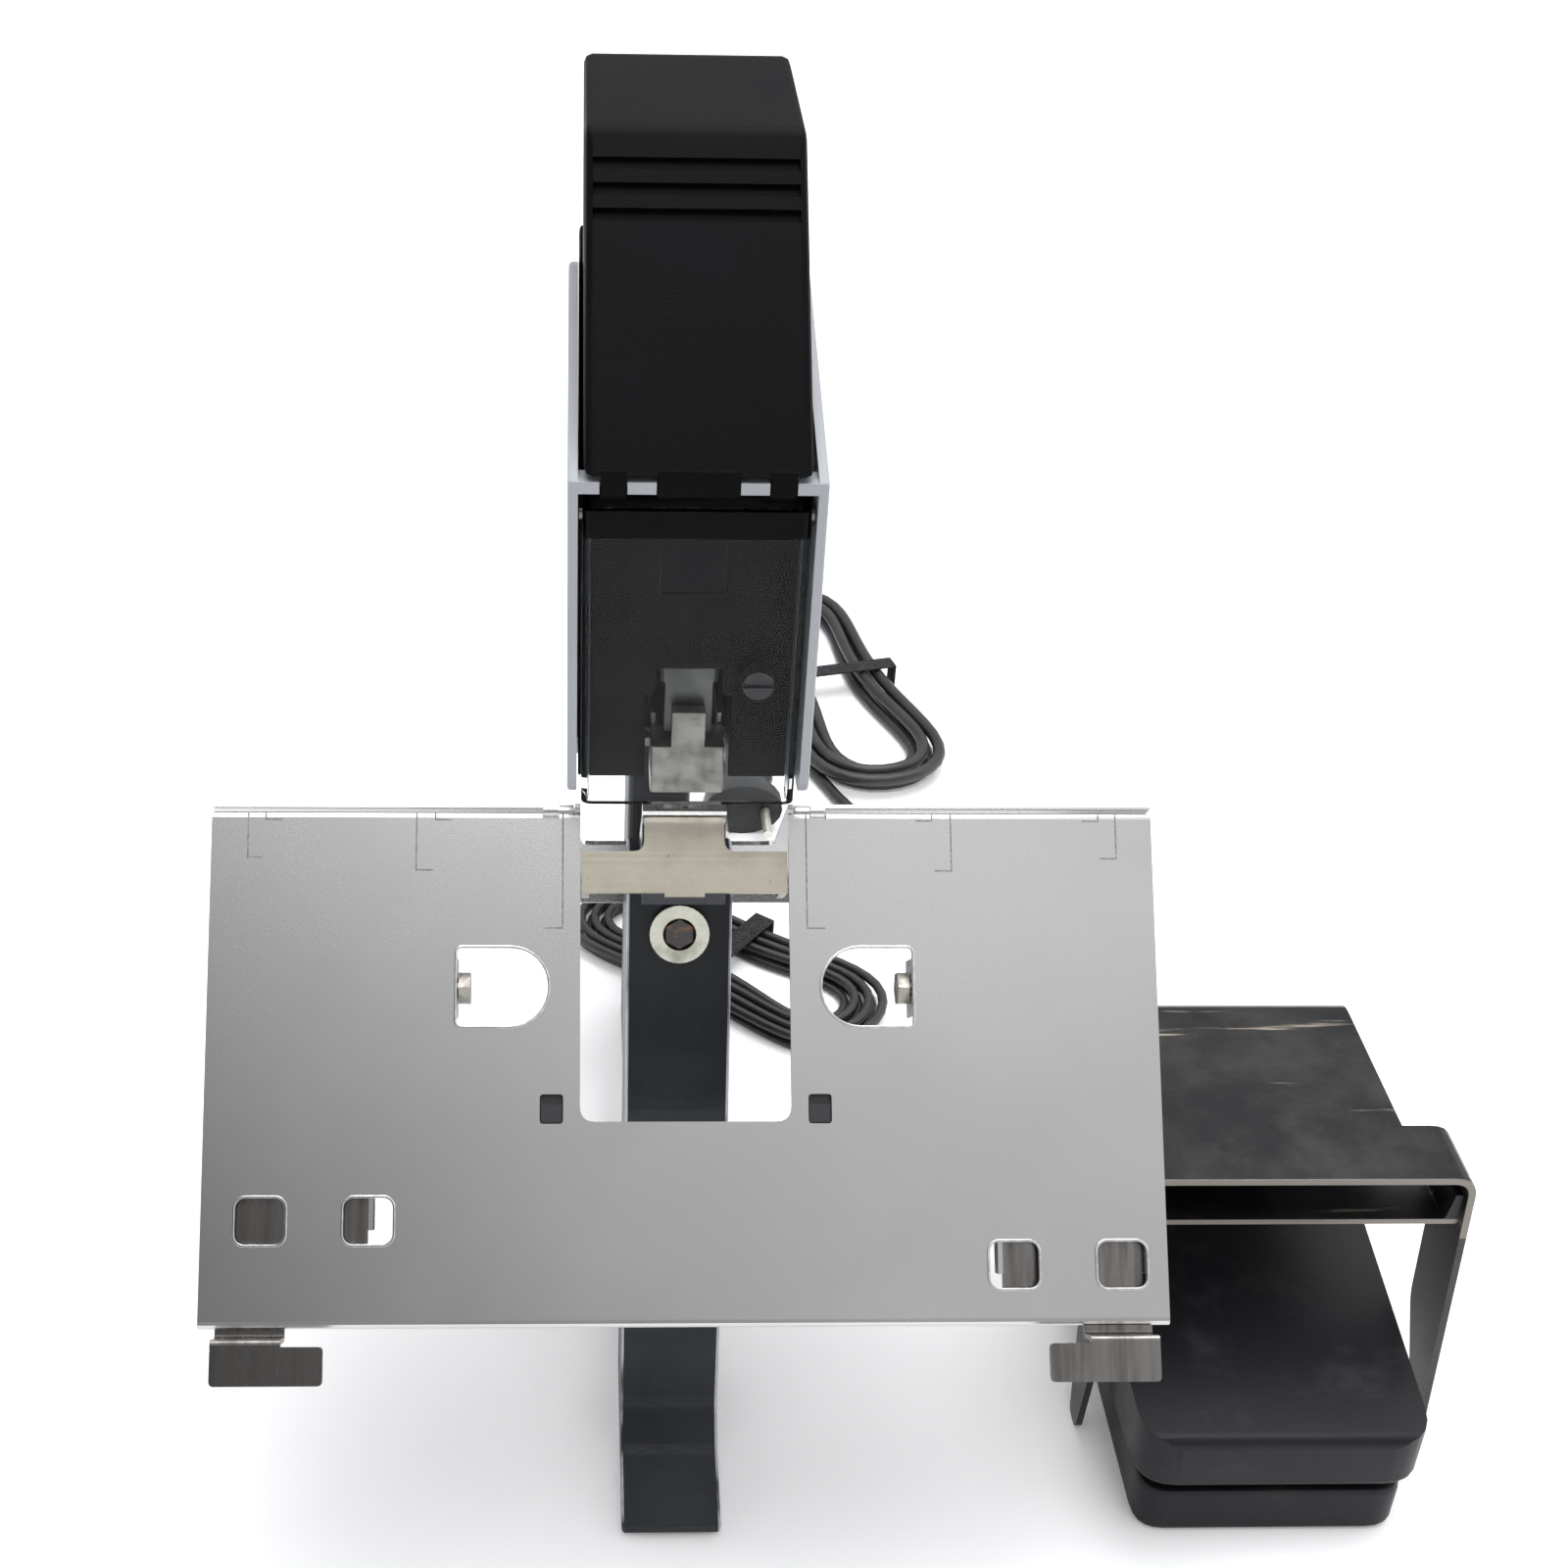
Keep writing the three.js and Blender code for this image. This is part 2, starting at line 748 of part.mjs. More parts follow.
// A sheet with its long edges turned down, drawn with the ridge at zero and y up the slope
function sheetSolid(setback, length, topLip) {
  const inner = -plateThickness;
  const section = roundedOutline([
    [-setback, -topLip],
    [-setback, 0],
    [-length, 0],
    [-length, -lipDepth],
    [-length + plateThickness, -lipDepth],
    [-length + plateThickness, inner],
    [-setback - plateThickness, inner],
    [-setback - plateThickness, -topLip],
  ], [0, topLipBend, lipBend, 0, 0, lipBend - plateThickness, 0, 0]);
  return prismX(section, -plateWidth / 2, plateWidth / 2, 0, 4);
}
const throughSheet = (shape) => prismZ(shape, -lipDepth - overrun, overrun, 0, 5);
const mirrored = (side, inner, outer) => [Math.min(side * inner, side * outer),
  Math.max(side * inner, side * outer)];

// Knuckles of one sheet, and the room that its neighbour's knuckles need
function withKnuckles(sheet, ownStart, otherStart, pinned) {
  const room = knuckleRadius + 2 * seat - hingeAcross;
  return [-1, 1].reduce((body, side) => {
    const [ownLeft] = mirrored(side, ownStart, ownStart + knuckleLength);
    const [left, right] = mirrored(side, otherStart - seat, otherStart + knuckleLength + seat);
    const [boreLeft] = mirrored(side, hingeInner - seat, hingeInner + 2 * knuckleLength + 2 * seat);
    const barrel = bar('x', knuckleRadius, [ownLeft, hingeAcross, hingeDeep], knuckleLength, 12);
    const notch = block(left, right, -room, overrun, -lipDepth, overrun);
    const bore = bar('x', knuckleBore, [boreLeft, hingeAcross, hingeDeep],
      2 * knuckleLength + 3 * seat, 12);
    const leaf = join(cut(body, notch), barrel);
    if (!pinned) return cut(leaf, bore);
    const [pinLeft] = mirrored(side, hingeInner, hingeInner + 2 * knuckleLength + seat);
    return join(leaf, bar('x', hingePinRadius, [pinLeft, hingeAcross, hingeDeep],
      2 * knuckleLength + seat, 12));
  }, sheet);
}

function makeFrontTable() {
  const slot = throughSheet(rectangle(-slotHalf, slotHalf, -slotLength, 2 * slotCorner, slotCorner));
  let sheet = cut(sheetSolid(frontPlateSetback, frontPlateLength, topLipDepth), slot);
  for (const side of [-1, 1]) {
    const thumb = roundedOutline([
      [side * thumbHoleInner, -thumbHoleBottom],
      [side * thumbHoleOuter, -thumbHoleBottom],
      [side * thumbHoleOuter, -thumbHoleTop],
      [side * thumbHoleInner, -thumbHoleTop],
    ], [(thumbHoleBottom - thumbHoleTop) / 2, slotCorner / 3, slotCorner / 3,
      (thumbHoleBottom - thumbHoleTop) / 2]);
    const [catchLeft, catchRight] = mirrored(side, catchHoleInner, catchHoleInner + catchHoleWidth);
    const catchHole = rectangle(catchLeft, catchRight,
      -catchHoleTop - catchHoleLength, -catchHoleTop, slotCorner / 4);
    const stopTop = side < 0 ? leftStopHoleTop : rightStopHoleTop;
    const stopHoles = (side < 0 ? leftStopHoles : rightStopHoles).map((inner) => {
      const [left, right] = mirrored(side, inner, inner + stopHoleWidth);
      return throughSheet(rectangle(left, right, -stopTop - stopHoleLength, -stopTop,
        stopHoleCorner));
    });
    const [notchLeft, notchRight] = mirrored(side, armInner - 2 * seat, stopOuter + 2 * seat);
    const lipNotch = block(notchLeft, notchRight, -frontPlateLength - overrun,
      -frontPlateLength + 2 * plateThickness, -lipDepth - overrun, -stopArmDrop + seat);
    sheet = cut(sheet, throughSheet(thumb), throughSheet(catchHole), ...stopHoles, lipNotch);
    sheet = join(sheet, earSolid(side), ...guideSolids(side));
  }
  return withKnuckles(sheet, hingeInner, hingeInner + knuckleLength + seat, false);
}

// An ear turned back at the straight edge of a thumb hole, bored for its bolt
const earMiddle = -(thumbHoleTop + thumbHoleBottom) / 2;
const earBoltDeep = -earDepth * 0.6;
function earSolid(side) {
  const inset = (thumbHoleBottom - thumbHoleTop) / 8;
  const [left, right] = mirrored(side, thumbHoleOuter, thumbHoleOuter + plateThickness);
  const ear = block(left, right, -thumbHoleBottom + inset, -thumbHoleTop - inset,
    -earDepth, -plateThickness / 2);
  const [start] = mirrored(side, thumbHoleOuter - overrun, thumbHoleOuter + overrun);
  return cut(ear, bar('x', earBoltRadius + seat, [start, earMiddle, earBoltDeep], 2 * overrun));
}

// Hooked guides under the sheet, which the arm of a paper stop slides in
const armOuter = stopOuter - 2;
const armInner = armOuter - stopArmWidth;
function guideSolids(side) {
  const low = -stopArmDrop - stopThickness - seat;
  const length = stopHoleLength * 0.7;
  const top = side < 0 ? leftStopHoleTop : rightStopHoleTop;
  const hooks = [
    [armOuter + seat, armOuter + seat + stopThickness, armOuter - 2 * stopThickness],
    [armInner - seat - stopThickness, armInner - seat, armInner + 2 * stopThickness],
  ];
  return hooks.flatMap(([inner, outer, tip]) => {
    const [left, right] = mirrored(side, inner, outer);
    const [footLeft, footRight] = mirrored(side, Math.min(inner, tip), Math.max(outer, tip));
    return [
      block(left, right, -top - length, -top, low - stopThickness, -plateThickness / 2),
      block(footLeft, footRight, -top - length, -top, low - stopThickness, low),
    ];
  });
}

function makeRearTable() {
  const window = rectangle(-slotHalf, slotHalf, -rearWindowLength, 2 * slotCorner, slotCorner);
  const sheet = cut(sheetSolid(rearPlateSetback, rearPlateLength, plateThickness),
    throughSheet(window));
  return withKnuckles(sheet, hingeInner + knuckleLength + seat, hingeInner, true);
}

function makeEarBolt(side) {
  const gripInner = thumbHoleOuter - seat;
  const gripOuter = thumbHoleOuter + plateThickness + seat;
  const parts = [
    [earBoltHead, gripInner - earBoltHeadHeight, gripInner, 6],
    [earBoltRadius, gripInner - earBoltHeadHeight / 2, gripOuter + 2 * earBoltHeadHeight, 12],
    [earBoltHead, gripOuter, gripOuter + earBoltHeadHeight, 6],
  ].map(([radius, inner, outer, sides]) => {
    const [start] = mirrored(side, inner, outer);
    return bar('x', radius, [start, earMiddle, earBoltDeep], outer - inner, sides);
  });
  return join(...parts);
}

function makeTableCatch(side) {
  const margin = catchHoleWidth / 3;
  const [left, right] = mirrored(side, catchHoleInner - margin,
    catchHoleInner + catchHoleWidth + margin);
  const [nibLeft, nibRight] = mirrored(side, catchHoleInner + seat,
    catchHoleInner + catchHoleWidth - seat);
  const low = -catchHoleTop - catchHoleLength;
  const body = prismZ(rectangle(left, right, low - margin, -catchHoleTop + margin, 1),
    -plateThickness - seat - catchThickness, -plateThickness - seat, softEdge / 2, 3);
  const nib = block(nibLeft, nibRight, low + seat, -catchHoleTop - catchHoleLength / 3,
    -plateThickness - catchThickness / 2, -plateThickness / 2);
  return join(body, nib);
}

// Paper stop: a flat arm under the sheet, a neck that turns up past its edge, and a lip
function makePaperStop(side) {
  const deep = -stopArmDrop - stopThickness;
  const riser = -frontPlateLength - stopReach;
  const [armLeft, armRight] = mirrored(side, armInner, armOuter);
  const [neckLeft, neckRight] = mirrored(side, stopOuter - stopNeckWidth, stopOuter);
  const [lipLeft, lipRight] = mirrored(side, stopOuter - stopLipWidth, stopOuter);
  const arm = block(armLeft, armRight, -stopArmEnd, -stopArmStart, deep, -stopArmDrop);
  const neckSection = roundedOutline([
    [-stopArmEnd + stopThickness, -stopArmDrop],
    [riser, -stopArmDrop],
    [riser, stopRise],
    [riser - 2 * stopThickness, stopRise],
    [riser - 2 * stopThickness, stopRise - stopThickness],
    [riser - stopThickness, stopRise - stopThickness],
    [riser - stopThickness, deep],
    [-stopArmEnd + stopThickness, deep],
  ], [0, stopThickness / 2, stopThickness * 1.5, 0, 0, stopThickness / 2, stopThickness * 1.5, 0]);
  const neck = prismX(neckSection, neckLeft, neckRight, 0, 4);
  const lip = prismZ(
    rectangle(lipLeft, lipRight, riser - 1.5 * stopThickness - stopLipLength,
      riser - 1.5 * stopThickness, stopThickness),
    stopRise - stopThickness, stopRise, 0, 3,
  );
  return join(arm, neck, lip);
}

// A counter-clockwise outline moved inwards, by its own distance on each edge
function insetPoints(points, distances) {
  const count = points.length;
  const edges = points.map(([x, y], index) => {
    const [nextX, nextY] = points[(index + 1) % count];
    const length = Math.hypot(nextX - x, nextY - y);
    const along = [(nextX - x) / length, (nextY - y) / length];
    const moved = distances[index];
    return { along, start: [x - along[1] * moved, y + along[0] * moved] };
  });
  return edges.map((edge, index) => {
    const last = edges[(index + count - 1) % count];
    const cross = last.along[0] * edge.along[1] - last.along[1] * edge.along[0];
    const gapX = edge.start[0] - last.start[0];
    const gapY = edge.start[1] - last.start[1];
    const travel = (gapX * edge.along[1] - gapY * edge.along[0]) / cross;
    return [last.start[0] + last.along[0] * travel, last.start[1] + last.along[1] * travel];
  });
}

// Head: two pale side mouldings, each a tray with a rim under the belly and up the back
const sideProfile = [
  [headFront, headFloor + chinReach / 8],
  [chinReach, headFloor],
  [bellyReach, headFloor],
  [bellyBack, bellyBackHeight],
  [bellyDropReach, headBackFloor],
  [headBack, headBackFloor],
  [headBack, headBackHeight],
  [shoulderReach, shoulderHeight],
  [headFront, bezelHeight],
];
function makeSideCover(side) {
  const [left, right] = mirrored(side, seat / 2, headHalf);
  const shell = prismX(roundedOutline(sideProfile, sideRoundings), left, right, softEdge, 4);
  const rims = [-overrun, sideWall, sideWall, sideWall, sideWall,
    -overrun, -overrun, -overrun, -overrun];
  const pocket = insetPoints(sideProfile, rims);
  pocket[0] = [headFront - overrun, headFloor - overrun];
  pocket.splice(1, 1, [chinReach, headFloor - overrun], [chinReach, headFloor + sideWall]);
  const [pocketLeft, pocketRight] = mirrored(side, -overrun, headHalf - sideWall);
  const postRoom = block(-railWidth / 2 - seat, railWidth / 2 + seat,
    postFront - seat, postBack + seat, 0, headFloor);
  const tray = cut(shell, prismX(outline(pocket), pocketLeft, pocketRight), postRoom);
  return join(tray, ledgeSolid(side));
}

// Half of the narrow ledge between the guard and the cover, notched for the hinge lugs
const lugRadius = 2.2;
const lugReach = headFront + 2.4;
const lugHeight = bezelHeight - 2.8;
const sideLugStart = 17;
const sideLugWidth = 6;
const middleLugHalf = 9.6;
function ledgeSolid(side) {
  const [left, right] = mirrored(side, seat / 2, headHalf - sideWall / 2);
  const strip = block(left, right, headFront, headFront + ledgeDepth,
    bezelHeight - ledgeThickness, bezelHeight);
  const notches = [
    [-overrun, middleLugHalf + seat],
    [sideLugStart - seat, sideLugStart + sideLugWidth + seat],
  ].map(([inner, outer]) => {
    const [notchLeft, notchRight] = mirrored(side, inner, outer);
    return block(notchLeft, notchRight, headFront - overrun, lugReach + lugRadius + seat,
      bezelHeight - ledgeThickness - overrun, bezelHeight + overrun);
  });
  return cut(strip, ...notches);
}

// Top cover: a deep black wedge with finger grooves, hinged in the ledge
const coverProfile = [
  [headFront, bezelHeight + coverLift],
  [headFront + coverSill, bezelHeight + coverLift],
  [shoulderReach, shoulderHeight - coverSkirt],
  [coverTopBack, coverBackFloor],
  [coverTopBack, coverTopHeight],
  [coverFrontReach, coverFrontRise],
];
function makeTopCover() {
  const profile = roundedOutline(coverProfile, coverRoundings);
  const shell = prismX(profile, -coverHalf, coverHalf, coverEdge, 4);
  const pocket = insetPoints(coverProfile,
    [-overrun, -overrun, -overrun, coverWall, coverWall, coverWall]);
  const hollow = prismX(outline(pocket), -coverHalf + coverWall, coverHalf - coverWall);
  const rise = coverFrontRise - bezelHeight;
  const run = coverFrontReach - headFront;
  const along = new THREE.Vector2(run, rise).normalize();
  const outward = new THREE.Vector2(-along.y, along.x);
  const crest = new THREE.Vector2(coverFrontReach, coverFrontRise);
  const grooves = Array.from({ length: grooveCount }, (_, index) => {
    const down = firstGrooveFromTop + index * groovePitch;
    const corners = [
      [down, overrun],
      [down, -grooveDepth],
      [down + grooveHeight, -grooveDepth],
      [down + grooveHeight * 1.4, overrun / 5],
      [down + grooveHeight * 1.4, overrun],
    ].map(([back, deep]) => {
      const point = crest.clone().addScaledVector(along, -back).addScaledVector(outward, deep);
      return [point.x, point.y];
    });
    return prismX(outline(corners), -grooveWidth / 2, grooveWidth / 2);
  });
  return join(cut(shell, hollow, ...grooves), ...lugSolids());
}
function lugSolids() {
  const lugs = [
    [-middleLugHalf, middleLugHalf],
    [sideLugStart, sideLugStart + sideLugWidth],
    [-sideLugStart - sideLugWidth, -sideLugStart],
  ];
  return lugs.map(([left, right]) => join(
    bar('x', lugRadius, [left, lugReach, lugHeight], right - left, 12),
    block(left, right, lugReach - lugRadius, lugReach, lugHeight,
      bezelHeight + coverLift + coverWall / 2),
  ));
}

// Rear cover: roof and back in one shell between the side mouldings
function makeRearCover() {
  const outer = [
    [rearCoverFront, rearCoverFloor],
    [rearCoverBack, rearCoverFloor],
    [rearCoverBack, rearCoverBackHeight],
    [rearCoverFront, rearCoverFrontHeight],
  ];
  const shell = prismX(roundedOutline(outer, rearRoundings), -rearCoverHalf, rearCoverHalf,
    coverEdge / 2, 4);
  const pocket = insetPoints(outer, [-overrun, coverWall, coverWall, -overrun]);
  const hollow = prismX(outline(pocket), -headHalf, headHalf);
  const vents = Array.from({ length: ventCount }, (_, index) => {
    const low = ventTop - index * ventPitch;
    return prismY(rectangle(-ventWidth / 2, ventWidth / 2, low - ventHeight, low, ventHeight / 3),
      rearCoverBack - coverWall - overrun, rearCoverBack + overrun, 0, 3);
  });
  const switchHole = block(-switchWidth / 2 - seat, switchWidth / 2 + seat,
    rearCoverBack - coverWall - overrun, rearCoverBack + overrun,
    switchMiddle - switchHeight / 2 - seat, switchMiddle + switchHeight / 2 + seat);
  return cut(shell, hollow, ...vents, switchHole);
}

// Clear guard: a bent window round the driver, hung on a pin under the ledge
function makeClearGuard() {
  const back = guardFront + guardDepth;
  const outer = roundedOutline([
    [-guardHalf, guardFront],
    [guardHalf, guardFront],
    [guardHalf, back],
    [guardHalf - guardWall, back],
    [guardHalf - guardWall, guardFront + guardWall],
    [-guardHalf + guardWall, guardFront + guardWall],
    [-guardHalf + guardWall, back],
    [-guardHalf, back],
  ], [guardCorner, guardCorner, 0, 0, guardCorner - guardWall, guardCorner - guardWall, 0, 0]);
  const shell = prismZ(outer, guardBottom, guardTop, 0, 4);
  const bore = bar('x', guardPinRadius + seat, [-headHalf, guardPinReach, guardPinHeight],
    2 * headHalf);
  return cut(shell, bore);
}
const guardPinReach = guardFront + guardPinBack;
const makeGuardPin = () => bar('x', guardPinRadius,
  [-headHalf + sideWall + seat, guardPinReach, guardPinHeight],
  2 * (headHalf - sideWall - seat));

// Black nose frame behind the guard, with a shallow panel and a hole for the force knob
function makeNoseFrame() {
  const half = headHalf - sideWall - seat;
  const back = frameFront + frameThickness;
  const face = prismY(rectangle(-half, half, frameBottom, frameTop, 2), frameFront, back, 0, 3);
  const flanges = [-1, 1].map((side) => {
    const [left, right] = mirrored(side, half - frameThickness, half);
    return block(left, right, frameFront, back + 3 * frameThickness, frameBottom, frameTop);
  });
  const panelTop = frameTop - panelDrop;
  const panel = prismY(
    rectangle(-panelHalf, panelHalf, panelTop - panelHeight, panelTop, panelHalf / 8),
    frameFront - overrun, frameFront + frameThickness / 3, 0, 3,
  );
  const knobHole = bar('y', knobSpindleRadius + seat, [knobAcross, frameFront - overrun, knobHeight],
    frameThickness + 2 * overrun);
  const carrierRoom = block(-carrierHalf - 2 * seat, carrierHalf + 2 * seat,
    frameFront - overrun, back + overrun,
    frameBottom - overrun, carrierHeight + carrierThickness + 2 * seat);
  return cut(join(face, ...flanges), panel, knobHole, carrierRoom);
}

// Chassis: a folded channel over the post, which carries the magazine and the solenoid
function makeChassis() {
  const top = chassisFloor + chassisHeight;
  const channel = outline([
    [-chassisHalf, chassisFloor],
    [chassisHalf, chassisFloor],
    [chassisHalf, top],
    [chassisHalf - chassisWall, top],
    [chassisHalf - chassisWall, chassisFloor + chassisWall],
    [-chassisHalf + chassisWall, chassisFloor + chassisWall],
    [-chassisHalf + chassisWall, top],
    [-chassisHalf, top],
  ]);
  const room = block(-railWidth / 2 - seat, railWidth / 2 + seat,
    postFront - seat, postBack + seat, chassisFloor - overrun, chassisFloor + overrun);
  return cut(prismY(channel, chassisFront, chassisBack), room);
}

// Magazine: an open channel full of staples, with a sprung pusher behind them
const magazineTop = magazineFloor + magazineHeight;
function makeMagazine() {
  const section = outline([
    [-magazineHalf, magazineFloor],
    [magazineHalf, magazineFloor],
    [magazineHalf, magazineTop],
    [magazineHalf - magazineWall, magazineTop],
    [magazineHalf - magazineWall, magazineFloor + magazineWall],
    [-magazineHalf + magazineWall, magazineFloor + magazineWall],
    [-magazineHalf + magazineWall, magazineTop],
    [-magazineHalf, magazineTop],
  ]);
  const back = block(-magazineHalf, magazineHalf, magazineBack - magazineWall, magazineBack,
    magazineFloor, magazineTop);
  return join(prismY(section, magazineFront, magazineBack), back);
}
const stapleFloor = magazineFloor + magazineWall + seat;
function makeStaples() {
  const section = outline([
    [-stapleHalf, stapleFloor],
    [-stapleHalf + magazineWall, stapleFloor],
    [-stapleHalf + magazineWall, stapleFloor + stapleHeight - magazineWall],
    [stapleHalf - magazineWall, stapleFloor + stapleHeight - magazineWall],
    [stapleHalf - magazineWall, stapleFloor],
    [stapleHalf, stapleFloor],
    [stapleHalf, stapleFloor + stapleHeight],
    [-stapleHalf, stapleFloor + stapleHeight],
  ]);
  return prismY(section, stapleFront, stapleFront + stapleLength);
}
const pusherFront = stapleFront + stapleLength + seat;
const pusherBack = pusherFront + pusherLength;
function makePusher() {
  const body = block(-stapleHalf, stapleHalf, pusherFront, pusherBack,
    stapleFloor, stapleFloor + stapleHeight);
  const grip = block(-stapleHalf / 2, stapleHalf / 2, pusherFront + pusherLength / 3,
    pusherBack - pusherLength / 3, stapleFloor, magazineTop + magazineWall);
  return join(body, grip);
}

// A coil spring wound round an axis as one tube, and its least gap to itself
class Helix extends THREE.Curve {
  constructor(radius, turns, length) {
    super();
    Object.assign(this, { radius, turns, length });
  }
  getPoint(t, target = new THREE.Vector3()) {
    const angle = 2 * Math.PI * this.turns * t;
    return target.set(
      this.radius * Math.cos(angle), this.radius * Math.sin(angle), this.length * t,
    );
  }
}
function springGeometry(name, radius, wire, turns, length) {
  const stepsPerCurl = 8;
  const section = new THREE.Shape();
  const sides = 5;
  for (let side = 0; side < sides; side += 1) {
    const angle = (2 * Math.PI * side) / sides;
    const place = [wire / 2 * Math.cos(angle), wire / 2 * Math.sin(angle)];
    if (side === 0) section.moveTo(...place);
    else section.lineTo(...place);
  }
  section.closePath();
  console.log(`${name}: least gap to itself ${(length / turns - wire).toFixed(2)} mm`);
  return new THREE.ExtrudeGeometry(section, {
    steps: stepsPerCurl * turns,
    extrudePath: new Helix(radius, turns, length),
    bevelEnabled: false,
  });
}

const pusherSpringLength = magazineBack - magazineWall - pusherBack - 2 * springWire - 2 * seat;
function makePusherSpring() {
  const geometry = springGeometry('pusher_spring', pusherCoilRadius, springWire,
    pusherCoilTurns, pusherSpringLength);
  geometry.rotateX(-Math.PI / 2);
  return geometry.translate(0, pusherBack + springWire + seat,
    stapleFloor + pusherCoilRadius + springWire);
}

// Driver nose: a slotted block over the anvil, with a short guide tower in front
function makeNose() {
  const back = magazineFront - seat;
  const body = prismZ(rectangle(-noseHalf, noseHalf, noseFront, back, 1),
    noseBottom, noseTop, softEdge / 2, 3);
  const tower = block(-noseTowerHalf, noseTowerHalf, noseFront, bladeFront - 3 * bladeSlotClearance,
    noseBottom + 1, noseTowerTop);
  const slot = block(-bladeSlotHalf, bladeSlotHalf, bladeFront - bladeSlotClearance,
    bladeFront + bladeThickness + bladeSlotClearance, noseBottom - overrun, noseTop + overrun);
  return cut(join(body, tower), slot);
}

// Driver: the blade on its carrier, and the plunger that pulls it down
function makeBlade() {
  const blade = block(-bladeHalf, bladeHalf, bladeFront, bladeFront + bladeThickness,
    bladeBottom, carrierHeight + carrierThickness / 2);
  const carrier = prismZ(
    rectangle(-carrierHalf, carrierHalf, bladeFront, plungerMiddle + plungerRadius, 3),
    carrierHeight, carrierHeight + carrierThickness, 0, 4,
  );
  return join(blade, carrier);
}
function makePlunger() {
  const low = carrierHeight + carrierThickness + seat;
  const shaft = bar('z', plungerRadius, [0, plungerMiddle, low], plungerTop - low, 20);
  const cap = bar('z', plungerCapRadius, [0, plungerMiddle, plungerTop - plungerCapHeight],
    plungerCapHeight, 20);
  return join(shaft, cap);
}
const yokeTop = coilTop + coilFlange + seat + yokeWall;
function makeYoke() {
  const section = rectangle(-yokeReach - yokeWall + seat, yokeReach + yokeWall - seat,
    yokeFoot - yokeWall + seat, yokeTop);
  section.holes.push(rectangle(-yokeReach + seat, yokeReach - seat, yokeFoot + seat,
    yokeTop - yokeWall));
  const bore = bar('z', coilBore, [0, plungerMiddle, yokeFoot - overrun - yokeWall],
    yokeTop - yokeFoot + 3 * overrun, 20);
  return cut(prismY(section, plungerMiddle - yokeHalf, plungerMiddle + yokeHalf), bore);
}
function makeCoil() {
  const rise = coilTop - coilBottom;
  const profile = [
    [coilBore, -coilFlange / 2],
    [coilFlangeRadius, -coilFlange / 2],
    [coilFlangeRadius, coilFlange / 2],
    [coilRadius, coilFlange / 2],
    [coilRadius, rise],
    [coilFlangeRadius, rise],
    [coilFlangeRadius, rise + coilFlange],
    [coilBore, rise + coilFlange],
    [coilBore, -coilFlange / 2],
  ].map(([x, y]) => new THREE.Vector2(x, y));
  const geometry = new THREE.LatheGeometry(profile, 24);
  return geometry.rotateX(Math.PI / 2).translate(0, plungerMiddle, coilBottom);
}
const returnSpringLength = plungerTop - plungerCapHeight - yokeTop - 2 * springWire - 2 * seat;
function makeReturnSpring() {
  const geometry = springGeometry('return_spring', returnCoilRadius, springWire,
    returnCoilTurns, returnSpringLength);
  return geometry.translate(0, plungerMiddle, yokeTop + springWire + seat);
}

// Control board on four pegs inside the back of the rear cover
function makeBoard() {
  const plate = block(-boardHalf, boardHalf, boardPlace, boardPlace + boardThickness,
    boardFloor, boardTop);
  const wall = rearCoverBack - coverWall - seat;
  const pegHeights = [boardFloor + pegInset, boardTop - pegInset];
  const pegs = [-1, 1].flatMap((side) => pegHeights.map((height) =>
    bar('y', pegRadius, [side * (boardHalf - pegInset), boardPlace, height],
      wall - boardPlace, 8)));
  const near = chassisBack + pegRadius;
  const low = boardFloor + 2 * pegInset;
  const relay = block(-boardHalf + pegInset, -boardHalf + pegInset + relayWidth, near, boardPlace,
    low, low + relayHeight);
  const capacitor = bar('y', capacitorRadius,
    [boardHalf - pegInset - capacitorRadius, near, low + relayHeight / 2],
    boardPlace - near, 12);
  return join(plate, relay, capacitor, ...pegs);
}

// Mains switch in the back: a framed body and a rocker that tips in it
function makeSwitchBody() {
  const half = switchWidth / 2;
  const high = switchHeight / 2;
  const body = block(-half, half, rearCoverBack - switchDepth, rearCoverBack + 2 * seat,
    switchMiddle - high, switchMiddle + high);
  const flange = prismY(
    rectangle(-half - switchBezel, half + switchBezel,
      switchMiddle - high - switchBezel, switchMiddle + high + switchBezel,
      switchBezel * 0.75),
    rearCoverBack + seat, rearCoverBack + seat + switchBezel, 0, 3,
  );
  const well = block(-half + switchBezel, half - switchBezel,
    rearCoverBack - switchDepth + switchBezel, rearCoverBack + overrun,
    switchMiddle - high + switchBezel / 2, switchMiddle + high - switchBezel / 2);
  return cut(join(body, flange), well);
}
const rockerAxis = rearCoverBack - switchDepth / 3;
function makeRocker() {
  const half = switchHeight / 2 - 1.5 * switchBezel;
  const face = rearCoverBack + switchBezel + rockerProud;
  const section = roundedOutline([
    [rockerAxis, switchMiddle - half / 3],
    [rearCoverBack + switchBezel / 2, switchMiddle - half],
    [face, switchMiddle - half],
    [face - rockerProud / 2, switchMiddle],
    [face, switchMiddle + half],
    [rearCoverBack + switchBezel / 2, switchMiddle + half],
    [rockerAxis, switchMiddle + half / 3],
  ], [1, 0.5, 1, 12, 1, 0.5, 1]);
  const side = switchWidth / 2 - switchBezel - seat;
  return prismX(section, -side, side, 0, 4);
}

// Force knob in front of the nose frame
function makeForceKnob() {
  const back = frameFront - seat;
  const knob = bar('y', knobRadius, [knobAcross, back - knobLength, knobHeight], knobLength, 14);
  const spindle = bar('y', knobSpindleRadius, [knobAcross, back - knobSlot, knobHeight],
    frameThickness + knobLength, 12);
  const slot = block(knobAcross - knobRadius, knobAcross + knobRadius,
    back - knobLength - knobSlot, back - knobLength + knobSlot,
    knobHeight - knobSlot / 2, knobHeight + knobSlot / 2);
  return cut(join(knob, spindle), slot);
}

